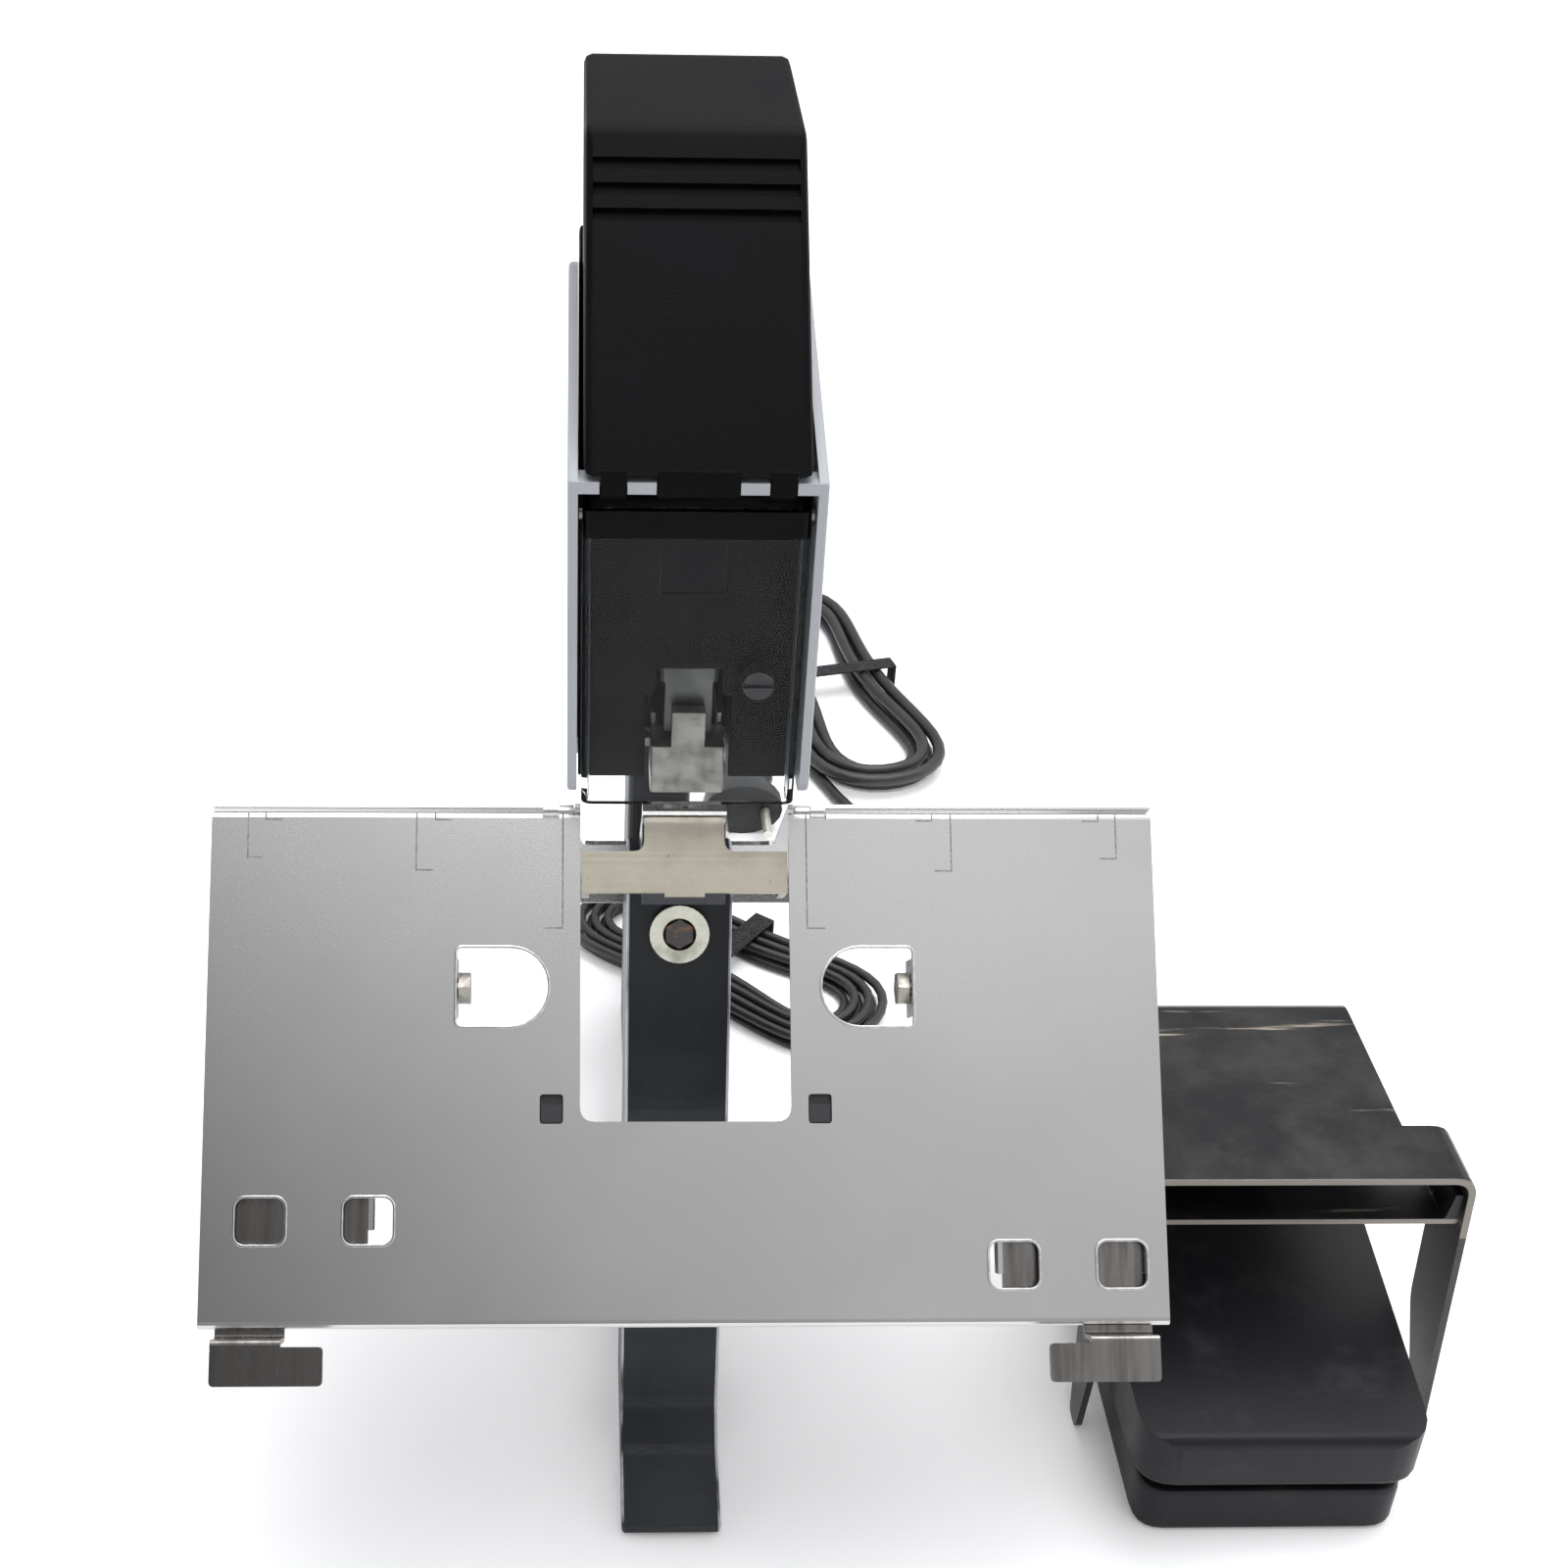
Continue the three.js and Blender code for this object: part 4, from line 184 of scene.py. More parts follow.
def room_maths(operation, *values):
    node = room.nodes.new("ShaderNodeMath")
    node.operation = operation
    for index, value in enumerate(values):
        if isinstance(value, bpy.types.NodeSocket):
            room.links.new(value, node.inputs[index])
        else:
            node.inputs[index].default_value = value
    return node.outputs[0]


def room_ramp(value, low, high, dim, bright):
    node = room.nodes.new("ShaderNodeMapRange")
    node.interpolation_type = "SMOOTHSTEP"
    room.links.new(value, node.inputs["Value"])
    for name, number in zip(("From Min", "From Max", "To Min", "To Max"),
                            (low, high, dim, bright)):
        node.inputs[name].default_value = number
    return node.outputs[0]


look_out = room.nodes.new("ShaderNodeTexCoord").outputs["Generated"]
split = room.nodes.new("ShaderNodeSeparateXYZ")
room.links.new(look_out, split.inputs[0])
right, back, up = split.outputs
front_left = room_maths("ADD", right, room_maths("MULTIPLY", up, 0.9))
dim_corner = room_ramp(front_left, 0.33, 0.6, 0.03, 1.0)
behind = room_ramp(back, -0.5, 0.2, 0.0, 1.0)
corner = room_maths("MAXIMUM", dim_corner, behind)
ceiling = room_ramp(up, 0.2, 0.85, 0.42, 0.95)
window = room_ramp(right, -0.3, 0.4, 0.82, 1.15)
mirrored = room_maths("MULTIPLY", corner, room_maths("MULTIPLY", ceiling, window))
horizon = room_ramp(up, 0.24, 0.42, 0.92, 0.0)
glow = room_maths("MAXIMUM", mirrored, horizon)
room.links.new(glow, room.nodes["Background"].inputs["Strength"])
room.nodes["Background"].inputs["Color"].default_value = (0.97, 0.98, 1.0, 1)


def soft_light(name, place, target, width, height, power, tint=(1, 1, 1)):
    light = bpy.data.lights.new(name, "AREA")
    light.shape = "RECTANGLE"
    light.size = width
    light.size_y = height
    light.energy = power
    light.color = tint
    lamp = bpy.data.objects.new(name, light)
    bpy.context.collection.objects.link(lamp)
    aim = (Vector(target) - Vector(place)).to_track_quat("-Z", "Y")
    lamp.matrix_world = Matrix.Translation(place) @ aim.to_matrix().to_4x4()


machine_middle = (0, 0, 0.2)
soft_light("overhead", (0.1, -0.1, 2.4), machine_middle, 2.2, 1.4, 40)
soft_light("rear", (0.2, 1.2, 2.4), machine_middle, 2.4, 1.2, 24)
soft_light("left_fill", (-1.9, 0.5, 0.8), machine_middle, 1.2, 1.2, 5)
soft_light("right_fill", (1.9, 0.4, 0.8), machine_middle, 1.0, 1.2, 6)

# Stand: welded steel sections sprayed semi-matt black. The front column leans back under the
# anvil and ends in a flat toe. Its long edges carry a painted highlight, in patches of bright
# metal.
column_half = 0.0145
highlight_width = 0.0008
side_skin = 0.00005
paint_look = Look("black_paint", (0.01, 0.011, 0.013), 0.4, Specular_IOR_Level=0.25)
speckle = paint_look.noise(900, 4)
paint_look.feed("Base Color", paint_look.mix(
    paint_look.noise(35, 4).ramp(0.35, 0.75), (0.007, 0.008, 0.01), (0.015, 0.016, 0.018)))
paint_look.feed("Roughness", speckle.ramp(0.3, 0.7) * 0.14 + 0.34)
paint_look.bump(speckle, 0.00015, 0.35)
paint_look.paint("base_rail", "rear_post", "cross_foot")

column_paint_look = Look("column_paint_painted_highlight", (0.01, 0.011, 0.013), 0.4, Specular_IOR_Level=0.3)
across, _, _ = column_paint_look.parts(column_paint_look.place())
speckle = column_paint_look.noise(900, 4)
highlight_patches = column_paint_look.noise(70, 5, stretch=(1, 1, 0.35))
# Painted highlight: thin strips along the column's long edges get pale metallic colour in patches
highlight_strip = (abs(across) > column_half - highlight_width) * (abs(across) < column_half - side_skin)
edge = highlight_strip * highlight_patches.ramp(0.35, 0.55)
painted = column_paint_look.mix(column_paint_look.noise(35, 4).ramp(0.35, 0.75),
                        (0.009, 0.011, 0.014), (0.019, 0.021, 0.024))
column_paint_look.feed("Base Color", column_paint_look.mix(edge, painted, (0.42, 0.43, 0.46)))
column_paint_look.feed("Metallic", edge * 0.9)
column_paint_look.feed("Roughness", speckle.ramp(0.3, 0.7) * 0.14 + 0.32)
column_paint_look.bump(speckle, 0.00015, 0.3)
column_paint_look.paint("front_column")

# Foot pads: pressed rubber, glued under the toe, the cross foot and the post, with a fine
# ribbed underside and a dusty face.
rubber_look = Look("foot_rubber", (0.022, 0.022, 0.023), 0.8)
dust = rubber_look.noise(220, 5).ramp(0.45, 0.8)
rubber_look.feed("Base Color", rubber_look.mix(dust, (0.018, 0.018, 0.019), (0.05, 0.048, 0.046)))
rubber_look.feed("Roughness", dust * 0.1 + 0.75)
rubber_look.bump(rubber_look.noise(1500, 2), 0.0001, 0.4)
rubber_look.paint("foot_pad_front", "foot_pad_left", "foot_pad_right", "foot_pad_rear")

# Clamp bolt and washer on the column: a nickel washer with turned rings, and a blackened bolt
# that sits deep in it.
washer_look = Look("turned_nickel", (0.62, 0.61, 0.53), 0.3, 1.0)
tarnish = washer_look.noise(160, 5).ramp(0.4, 0.75)
washer_look.feed("Base Color", washer_look.mix(tarnish, (0.68, 0.67, 0.58), (0.42, 0.42, 0.35)))
washer_look.feed("Roughness", tarnish * 0.2 + 0.24)
washer_look.bump(washer_look.noise(700, 2), 0.00012, 0.4)
washer_look.paint("column_washer")

bolt_look = Look("blackened_bolt", (0.1, 0.085, 0.075), 0.5, 0.7)
rust = bolt_look.noise(420, 5).ramp(0.5, 0.72)
bolt_look.feed("Base Color", bolt_look.mix(rust, (0.09, 0.085, 0.085), (0.3, 0.17, 0.1)))
bolt_look.feed("Roughness", rust * 0.25 + 0.42)
bolt_look.bump(bolt_look.noise(600, 4), 0.0002, 0.5)
bolt_look.paint("column_bolt")

# Anvil: a hardened block, blackened below and polished on the narrow nib, whose two grooves
# turn the legs of the staple.
anvil_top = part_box("anvil_block")[1][2]
anvil_look = Look("anvil_steel", (0.5, 0.5, 0.5), 0.3, 1.0)
_, _, height = anvil_look.parts(anvil_look.place())
polished = height.ramp(anvil_top - 0.006, anvil_top - 0.003)
anvil_look.feed("Base Color", anvil_look.mix(polished, (0.05, 0.052, 0.058), (0.62, 0.62, 0.6)))
anvil_look.feed("Roughness", anvil_look.noise(500, 4).ramp(0.3, 0.7) * 0.15 + 0.25)
anvil_look.bump(anvil_look.noise(1400, 2), 0.00006, 0.4)
anvil_look.paint("anvil_block")

# Anvil bracket: a T-plate of rolled steel with warm nickel plating, stained by handling and
# scratched across.
bracket_look = Look("warm_nickel", (0.6, 0.56, 0.47), 0.34, 0.9)
stain = bracket_look.noise(90, 6, rough=0.65).ramp(0.35, 0.8)
fleck = bracket_look.noise(650, 3).ramp(0.7, 0.78)
plated = bracket_look.mix(stain, (0.48, 0.445, 0.37), (0.38, 0.345, 0.28))
bracket_look.feed("Base Color", bracket_look.mix(fleck, plated, (0.2, 0.17, 0.14)))
bracket_look.feed("Roughness", stain * 0.16 + 0.3)
scratch = bracket_look.noise(60, 3, stretch=(0.15, 12, 12))
bracket_look.bump(scratch, 0.0001, 0.3)
bracket_look.paint("anvil_bracket")

# Saddle table: two stainless sheets with a fine satin grain, their long edges rolled down. The
# front one hinges on the ridge, and years of sheets have left faint streaks down it.
slope_angle = math.radians(48)
ridge_height = 0.215
table_turn = (-slope_angle, 0, 0)
steel_look = Look("satin_steel", (0.6, 0.595, 0.59), 0.33, 1.0)
grain = steel_look.noise(2600, 2, turn=table_turn, stretch=(0.3, 1, 1))
cloud = steel_look.noise(9, 4, turn=table_turn)
smear = steel_look.noise(26, 5, turn=table_turn, stretch=(1, 0.12, 1), rough=0.6)
clean = steel_look.mix(cloud.ramp(0.3, 0.7), (0.5, 0.495, 0.49), (0.56, 0.556, 0.552))
marked = steel_look.mix(smear.ramp(0.5, 0.8) * 0.25, clean, (0.42, 0.413, 0.406))
steel_look.feed("Base Color", steel_look.mix(grain.ramp(0.3, 0.7) * 0.06, marked,
                                             (0.46, 0.455, 0.45)))
steel_look.feed("Roughness", grain * 0.015 + cloud * 0.03 + 0.248)
scratch = steel_look.noise(14, 2, turn=(-slope_angle, 0, 0.7), stretch=(0.4, 22, 1))
steel_look.bump(scratch.ramp(0.715, 0.74), 0.00002, 0.15)
steel_look.paint("front_table", "rear_table")

# Paper stops: pressed from thinner, duller stainless, brushed along by the paper. Their arms
# slide in hooked guides under the front sheet.
stop_look = Look("dull_steel", (0.34, 0.325, 0.31), 0.3, 1.0)
wear = stop_look.noise(120, 5, stretch=(3, 0.3, 0.3)).ramp(0.3, 0.75)
stop_look.feed("Base Color", stop_look.mix(wear, (0.24, 0.23, 0.22), (0.12, 0.112, 0.105)))
stop_look.feed("Roughness", wear * 0.14 + 0.22)
stop_look.bump(stop_look.noise(900, 3), 0.00005, 0.3)
stop_look.paint("paper_stop_left", "paper_stop_right")

# Guide lines: thin grey marks etched beside the slot and near both ends of the ridge. Each runs
# down from the ridge and turns a short foot, where a sheet's edge is to lie.
LINE_WIDTH = 0.0004
LINE_LIFT = 0.00003
LINE_START = 0.0028
line_marks = [
    (0.1135, 0.0146, -0.0044), (0.109, 0.0047, -0.0042), (0.0699, 0.0179, -0.0044),
    (0.065, 0.0047, -0.0043), (0.0318, 0.033, 0.0047),
]
line_look = Look("etched_line", (0.2, 0.2, 0.205), 0.6, 0.3)
line_look.feed("Base Color", line_look.mix(line_look.noise(900, 3).ramp(0.4, 0.7),
                                           (0.17, 0.17, 0.175), (0.3, 0.3, 0.3)))
table_frame = (Matrix.Translation((0, 0, ridge_height))
               @ Matrix.Rotation(slope_angle, 4, "X"))


def flat_strip(left, right, low, high):
    bpy.ops.object.select_all(action="DESELECT")
    bpy.ops.mesh.primitive_plane_add(size=1, location=((left + right) / 2, (low + high) / 2, 0))
    bpy.ops.transform.resize(value=(right - left, high - low, 1))
    bpy.ops.object.transform_apply(location=True, rotation=False, scale=True)
    return bpy.context.object


def join_up(pieces, name):
    bpy.ops.object.select_all(action="DESELECT")
    for piece in pieces:
        piece.select_set(True)
    bpy.context.view_layer.objects.active = pieces[0]
    bpy.ops.object.join()
    pieces[0].name = name
    return pieces[0]


def thicken(piece, thickness):
    bpy.ops.object.modifier_add(type="SOLIDIFY")
    piece.modifiers[0].thickness = thickness
    piece.modifiers[0].offset = 0
    bpy.ops.object.modifier_apply(modifier=piece.modifiers[0].name)


def finish_piece(piece, look, body):
    look.paint(piece)
    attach(piece, body)


bars = []
for side in (-1, 1):
    for across, length, foot in line_marks:
        middle, tip = side * across, side * (across + foot)
        half = LINE_WIDTH / 2
        bars.append(flat_strip(middle - half, middle + half, -length, -LINE_START))
        low, high = sorted((middle - math.copysign(half, middle - tip), tip))
        bars.append(flat_strip(low, high, -length, -length + LINE_WIDTH))
guide_lines = join_up(bars, "guide_lines")
thicken(guide_lines, 2 * LINE_LIFT)
guide_lines.data.transform(table_frame)
finish_piece(guide_lines, line_look, "table")

# Rolled rims: the pressing leaves a fine bright bead round each thumb hole and each square
# hole of the front sheet. The beads are polished by the sheets that slide over them.
RIM_WIDTH = 0.0007
RIM_HEIGHT = 0.0003
SQUARE_CORNER = 0.0025
thumb_hole = (0.0355, 0.059, -0.058, -0.038, 0.0098, 0.0013)
square_holes = [(-0.087, -0.0745, -0.113, -0.1015), (-0.1143, -0.1018, -0.113, -0.1015),
                (0.0773, 0.0898, -0.1245, -0.113), (0.105, 0.1175, -0.1245, -0.113)]
rim_outlines = [(*hole, SQUARE_CORNER, SQUARE_CORNER) for hole in square_holes]
rim_outlines.append(thumb_hole)
rim_outlines.append((-thumb_hole[1], -thumb_hole[0], *thumb_hole[2:4], thumb_hole[5],
                     thumb_hole[4]))


def rolled_rim(left, right, low, high, left_corner, right_corner):
    rim = flat_strip(left - RIM_WIDTH, right + RIM_WIDTH, low - RIM_WIDTH, high + RIM_WIDTH)
    for edge, corner in ((left - RIM_WIDTH, left_corner), (right + RIM_WIDTH, right_corner)):
        bpy.ops.object.mode_set(mode="EDIT")
        bpy.ops.mesh.select_mode(type="VERT")
        bpy.ops.mesh.select_all(action="DESELECT")
        bpy.ops.object.mode_set(mode="OBJECT")
        for vertex in rim.data.vertices:
            vertex.select = abs(vertex.co.x - edge) < 0.00001
        bpy.ops.object.mode_set(mode="EDIT")
        bpy.ops.mesh.bevel(offset=corner + RIM_WIDTH, segments=8, affect="VERTICES")
        bpy.ops.object.mode_set(mode="OBJECT")
    bpy.ops.object.mode_set(mode="EDIT")
    bpy.ops.mesh.select_mode(type="FACE")
    bpy.ops.mesh.select_all(action="SELECT")
    bpy.ops.mesh.inset(thickness=RIM_WIDTH, depth=0)
    bpy.ops.mesh.delete(type="FACE")
    bpy.ops.object.mode_set(mode="OBJECT")
    return rim


def round_edges(piece, width, smooth_angle):
    bpy.ops.object.modifier_add(type="BEVEL")
    piece.modifiers[0].width = width
    piece.modifiers[0].segments = 2
    bpy.ops.object.modifier_apply(modifier=piece.modifiers[0].name)
    bpy.ops.object.shade_smooth_by_angle(angle=math.radians(smooth_angle))


rolled_rims = join_up([rolled_rim(*outline) for outline in rim_outlines], "rolled_rims")
thicken(rolled_rims, RIM_HEIGHT)
round_edges(rolled_rims, RIM_HEIGHT / 3, 60)
rolled_rims.data.transform(table_frame @ Matrix.Translation((0, 0, RIM_HEIGHT / 2)))
rim_look = Look("polished_rim", (0.7, 0.69, 0.68), 0.2, 1.0)
rub = rim_look.noise(500, 3).ramp(0.3, 0.7)
rim_look.feed("Base Color", rim_look.mix(rub, (0.76, 0.75, 0.74), (0.55, 0.54, 0.53)))
rim_look.feed("Roughness", rub * 0.12 + 0.15)
finish_piece(rolled_rims, rim_look, "table")

# Table fixings and pins: zinc plating, painted dark as shade, on the bolts through the ears of the
# thumb holes and on the hinge pins, and black nylon on the table's catches and small inner parts.
zinc_look = Look("zinc_plate", (0.6, 0.6, 0.59), 0.28, 1.0)
bloom = zinc_look.noise(300, 5).ramp(0.4, 0.75)
# Both zinc colours are painted dark, as shade for the bolts deep in the thumb holes; the pins
# share them
zinc_look.feed("Base Color", zinc_look.mix(bloom, (0.3, 0.285, 0.26), (0.14, 0.13, 0.115)))
zinc_look.feed("Roughness", bloom * 0.18 + 0.22)
zinc_look.bump(zinc_look.noise(900, 2), 0.00005, 0.4)
zinc_look.paint("ear_bolt_left", "ear_bolt_right", "guard_hinge_pin", "pedal_hinge_pin")

nylon_look = Look("black_nylon", (0.022, 0.021, 0.024), 0.5)
nylon_look.feed("Roughness", nylon_look.noise(260, 4).ramp(0.3, 0.7) * 0.15 + 0.42)
nylon_look.bump(nylon_look.noise(1200, 2), 0.00015, 0.3)
nylon_look.paint("table_catch_left", "table_catch_right", "staple_pusher", "force_knob",
                 "pedal_microswitch")


# Side mouldings: pale grey ABS with a fine spark-eroded texture, one half each side of the
# chassis, softly rounded at every edge.
def pick(piece):
    bpy.ops.object.select_all(action="DESELECT")
    piece.select_set(True)
    bpy.context.view_layer.objects.active = piece


def softened_copy(node, name, body, edge, look, segments=2, sharp=32):
    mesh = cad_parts[node].data.copy()
    piece = bpy.data.objects.new(name, mesh)
    bpy.context.collection.objects.link(piece)
    pick(piece)
    bpy.ops.object.mode_set(mode="EDIT")
    bpy.ops.mesh.select_all(action="SELECT")
    bpy.ops.mesh.remove_doubles(threshold=0.000002)
    bpy.ops.mesh.dissolve_limited(angle_limit=math.radians(1))
    bpy.ops.object.mode_set(mode="OBJECT")
    bpy.ops.object.modifier_add(type="BEVEL")
    bevel = piece.modifiers[0]
    bevel.width = edge
    bevel.segments = segments
    bevel.limit_method = "ANGLE"
    bevel.angle_limit = math.radians(sharp)
    bpy.ops.object.modifier_apply(modifier=bevel.name)
    bpy.ops.object.shade_smooth_by_angle(angle=math.radians(sharp))
    bpy.ops.object.modifier_add(type="WEIGHTED_NORMAL")
    piece.modifiers[0].keep_sharp = True
    bpy.ops.object.modifier_apply(modifier=piece.modifiers[0].name)
    finish_piece(piece, look, body)
    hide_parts(node)
    return piece


grey_look = Look("grey_moulding", (0.5, 0.52, 0.55), 0.45)
handled = grey_look.noise(28, 5).ramp(0.4, 0.8)
grey_look.feed("Base Color", grey_look.mix(handled, (0.325, 0.34, 0.362), (0.31, 0.323, 0.343)))
grey_look.feed("Roughness", handled * 0.12 + 0.42)
grey_look.bump(grey_look.noise(1500, 2), 0.00012, 0.35)
for side in ("left", "right"):
    softened_copy(f"{side}_side_cover", f"{side}_side_moulding", "machine",
                  0.0006, grey_look)

# Top and rear covers: black grained ABS. The top one is the lid, with three finger grooves
# across its front, and the rear one has cooling slots under the switch.
grain_look = Look("black_moulding", (0.003, 0.003, 0.004), 0.5, Specular_IOR_Level=0.05)
worn = grain_look.noise(22, 5).ramp(0.45, 0.8)
grain_look.feed("Base Color", grain_look.mix(worn, (0.002, 0.002, 0.0025),
                                             (0.0045, 0.0045, 0.006)))
grain_look.feed("Roughness", worn * 0.1 + 0.46)
grain_look.bump(grain_look.noise(1500, 3), 0.0002, 0.4)
softened_copy("top_cover", "top_lid", "cover", 0.0006, grain_look)
softened_copy("rear_cover", "rear_shell", "machine", 0.0005, grain_look)
softened_copy("switch_body", "switch_frame", "machine", 0.0003, grain_look)
softened_copy("switch_rocker", "rocker_cap", "rocker", 0.0003, grain_look)

# Rear cover skirts: a black wall under each long edge of the rear roof. It drops inside the
# grey moulding, so the raised roof is closed at its sides.
roof_edge = Vector((0, 0.1095, 0.333))
roof_back = Vector((0, 0.2138, 0.297))
roof_angle = math.atan2(roof_back.z - roof_edge.z, roof_back.y - roof_edge.y)
roof_up = Vector((0, -math.sin(roof_angle), math.cos(roof_angle)))
SKIRT_TOP_DEPTH = 0.00245
SKIRT_FOOT_DEPTH = 0.0145
bpy.ops.object.select_all(action="DESELECT")
bpy.ops.mesh.primitive_cube_add(size=1, location=(0.02705, 0.1605, 0.305))
rear_skirt = bpy.context.object
rear_skirt.scale = (0.0014, 0.1016, 0.07)
bpy.ops.object.transform_apply(location=True, rotation=False, scale=True)
bpy.ops.object.mode_set(mode="EDIT")
for depth, side in ((SKIRT_TOP_DEPTH, 1), (SKIRT_FOOT_DEPTH, -1)):
    bpy.ops.mesh.select_all(action="SELECT")
    bpy.ops.mesh.bisect(plane_co=roof_edge - roof_up * depth, plane_no=roof_up * side,
                        use_fill=True, clear_outer=True)
bpy.ops.object.mode_set(mode="OBJECT")
round_edges(rear_skirt, 0.0003, 35)


def mirrored_copy(piece, name):
    other = piece.copy()
    other.data = piece.data.copy()
    other.name = name
    bpy.context.collection.objects.link(other)
    other.data.transform(Matrix.Diagonal((-1, 1, 1, 1)))
    pick(other)
    bpy.ops.object.mode_set(mode="EDIT")
    bpy.ops.mesh.select_all(action="SELECT")
    bpy.ops.mesh.normals_make_consistent(inside=False)
    bpy.ops.object.mode_set(mode="OBJECT")
    return other


rear_skirt.name = "rear_skirt_right"
for skirt in (rear_skirt, mirrored_copy(rear_skirt, "rear_skirt_left")):
    finish_piece(skirt, grain_look, "machine")

# Nose frame: the black moulding behind the window, glossier where the clear guard keeps the
# dust off, with a shallow panel in the middle.
gloss_look = Look("black_nose_moulding", (0.003, 0.003, 0.004), 0.35, Specular_IOR_Level=0.06)
haze = gloss_look.noise(40, 4).ramp(0.35, 0.75)
gloss_look.feed("Base Color", gloss_look.mix(haze, (0.0035, 0.0035, 0.0045), (0.009, 0.009, 0.01)))
gloss_look.feed("Roughness", haze * 0.2 + 0.28)
gloss_look.bump(gloss_look.noise(60, 3), 0.00008, 0.1)
softened_copy("nose_frame", "nose_moulding", "machine", 0.0004, gloss_look)

# Clear guard: a bent polycarbonate window that swings up on its pin. Fingers have left it a
# little hazy, and its cut edges show brighter.
clear_look = Look("clear_window", (0.9, 0.92, 0.93), 0.05, Transmission_Weight=1.0, IOR=1.16)
_, _, height = clear_look.parts(clear_look.place())
HINGE_BAND_FOOT = 0.2975
hinge_band = height > HINGE_BAND_FOOT
clear_look.feed("Base Color", clear_look.mix(hinge_band, (0.9, 0.92, 0.93),
                                             (0.004, 0.004, 0.005)))
touch = clear_look.noise(30, 5, rough=0.6).ramp(0.45, 0.8)
clear_look.feed("Roughness", touch * 0.05 + 0.02)
clear_look.bump(clear_look.noise(8, 2), 0.0002, 0.05)
softened_copy("clear_guard", "guard_window", "guard", 0.0003, clear_look, 1)

# Nose skirts: two black moulded wings between the side mouldings, one each side of the nose.
# They hide the inside of the head behind the clear guard, and a flange turns back on each.
FLANGE_END = 0.0127
FLANGE_DEPTH = 0.012
bpy.ops.object.select_all(action="DESELECT")
bpy.ops.mesh.primitive_cube_add(size=1, location=(0.0194, 0.0, 0.2366))
skirt_right = bpy.context.object
skirt_right.name = "nose_skirt_right"
skirt_right.scale = (0.0172, 0.0024, 0.0246)
bpy.ops.object.transform_apply(location=True, rotation=False, scale=True)
bpy.ops.object.mode_set(mode="EDIT")
bpy.ops.mesh.select_all(action="SELECT")
bpy.ops.mesh.bisect(plane_co=(FLANGE_END, 0, 0), plane_no=(1, 0, 0))
bpy.ops.mesh.select_all(action="DESELECT")
bpy.ops.object.mode_set(mode="OBJECT")
for face in skirt_right.data.polygons:
    face.select = face.normal.y > 0.9 and face.center.x < FLANGE_END
bpy.ops.object.mode_set(mode="EDIT")
bpy.ops.mesh.select_mode(type="FACE")
bpy.ops.mesh.extrude_region_move(TRANSFORM_OT_translate={"value": (0, FLANGE_DEPTH, 0)})
bpy.ops.object.mode_set(mode="OBJECT")
round_edges(skirt_right, 0.0004, 35)
skirt_left = mirrored_copy(skirt_right, "nose_skirt_left")
for skirt in (skirt_left, skirt_right):
    finish_piece(skirt, gloss_look, "machine")

# Chassis and yoke: folded mill-finish steel with a dark rolled skin. They carry the magazine
# and the solenoid inside the head.
mill_look = Look("mill_steel", (0.24, 0.23, 0.225), 0.42, 1.0)
scale = mill_look.noise(70, 6, rough=0.62).ramp(0.3, 0.75)
mill_look.feed("Base Color", mill_look.mix(scale, (0.12, 0.118, 0.115), (0.06, 0.058, 0.057)))
mill_look.feed("Roughness", scale * 0.18 + 0.34)
mill_look.bump(mill_look.noise(900, 3), 0.0001, 0.35)
mill_look.paint("head_chassis", "solenoid_yoke", "driver_blade")

# Magazine, plunger and staples: bright drawn steel, and the nose plated and stained like the
# bracket.
bright_look = Look("bright_steel", (0.62, 0.62, 0.61), 0.25, 1.0)
drawn = bright_look.noise(60, 4, stretch=(1, 0.06, 1)).ramp(0.3, 0.7)
bright_look.feed("Base Color", bright_look.mix(drawn, (0.66, 0.66, 0.65), (0.5, 0.5, 0.49)))
bright_look.feed("Roughness", drawn * 0.14 + 0.2)
bright_look.bump(bright_look.noise(800, 2), 0.00005, 0.3)
bright_look.paint("magazine_body", "plunger")

nose_look = Look("stained_nickel", (0.56, 0.53, 0.46), 0.38, 0.9)
stain = nose_look.noise(160, 6, rough=0.65).ramp(0.35, 0.75)
nose_look.feed("Base Color", nose_look.mix(stain, (0.27, 0.26, 0.235), (0.13, 0.125, 0.11)))
nose_look.feed("Roughness", stain * 0.2 + 0.3)
nose_look.bump(nose_look.noise(700, 3), 0.0001, 0.4)
softened_copy("magazine_nose", "driver_nose", "machine", 0.0003, nose_look)

STAPLE_HALF_PITCH = 0.00025
staple_look = Look("staple_wire", (0.62, 0.61, 0.58), 0.3, 1.0)
_, depth, _ = staple_look.parts(staple_look.place())
# Painted shade and highlight: colour runs from dark in the grooves between wires to bright on each
# crown
wires = staple_look.add("ShaderNodeMath", {"operation": "PINGPONG"},
                        {0: depth, 1: STAPLE_HALF_PITCH})
staple_look.feed("Base Color", staple_look.mix(wires * (1 / STAPLE_HALF_PITCH), (0.22, 0.215, 0.2),
                                               (0.68, 0.67, 0.64)))
staple_look.bump(wires, 0.0004, 0.8)
staple_look.paint("staple_strip")

# Springs: coiled music wire. The long one pushes the staples forward, the short stout one
# lifts the plunger, and the third lifts the treadle.
SPRING_STEPS = 20
CLOSED_TURNS = 1.25
CLOSED_PITCH = 1.02
spring_look = Look("music_wire", (0.5, 0.5, 0.51), 0.28, 1.0)
oil = spring_look.noise(500, 3).ramp(0.3, 0.7)
spring_look.feed("Base Color", spring_look.mix(oil, (0.56, 0.56, 0.57), (0.36, 0.35, 0.34)))
spring_look.feed("Roughness", oil * 0.15 + 0.2)


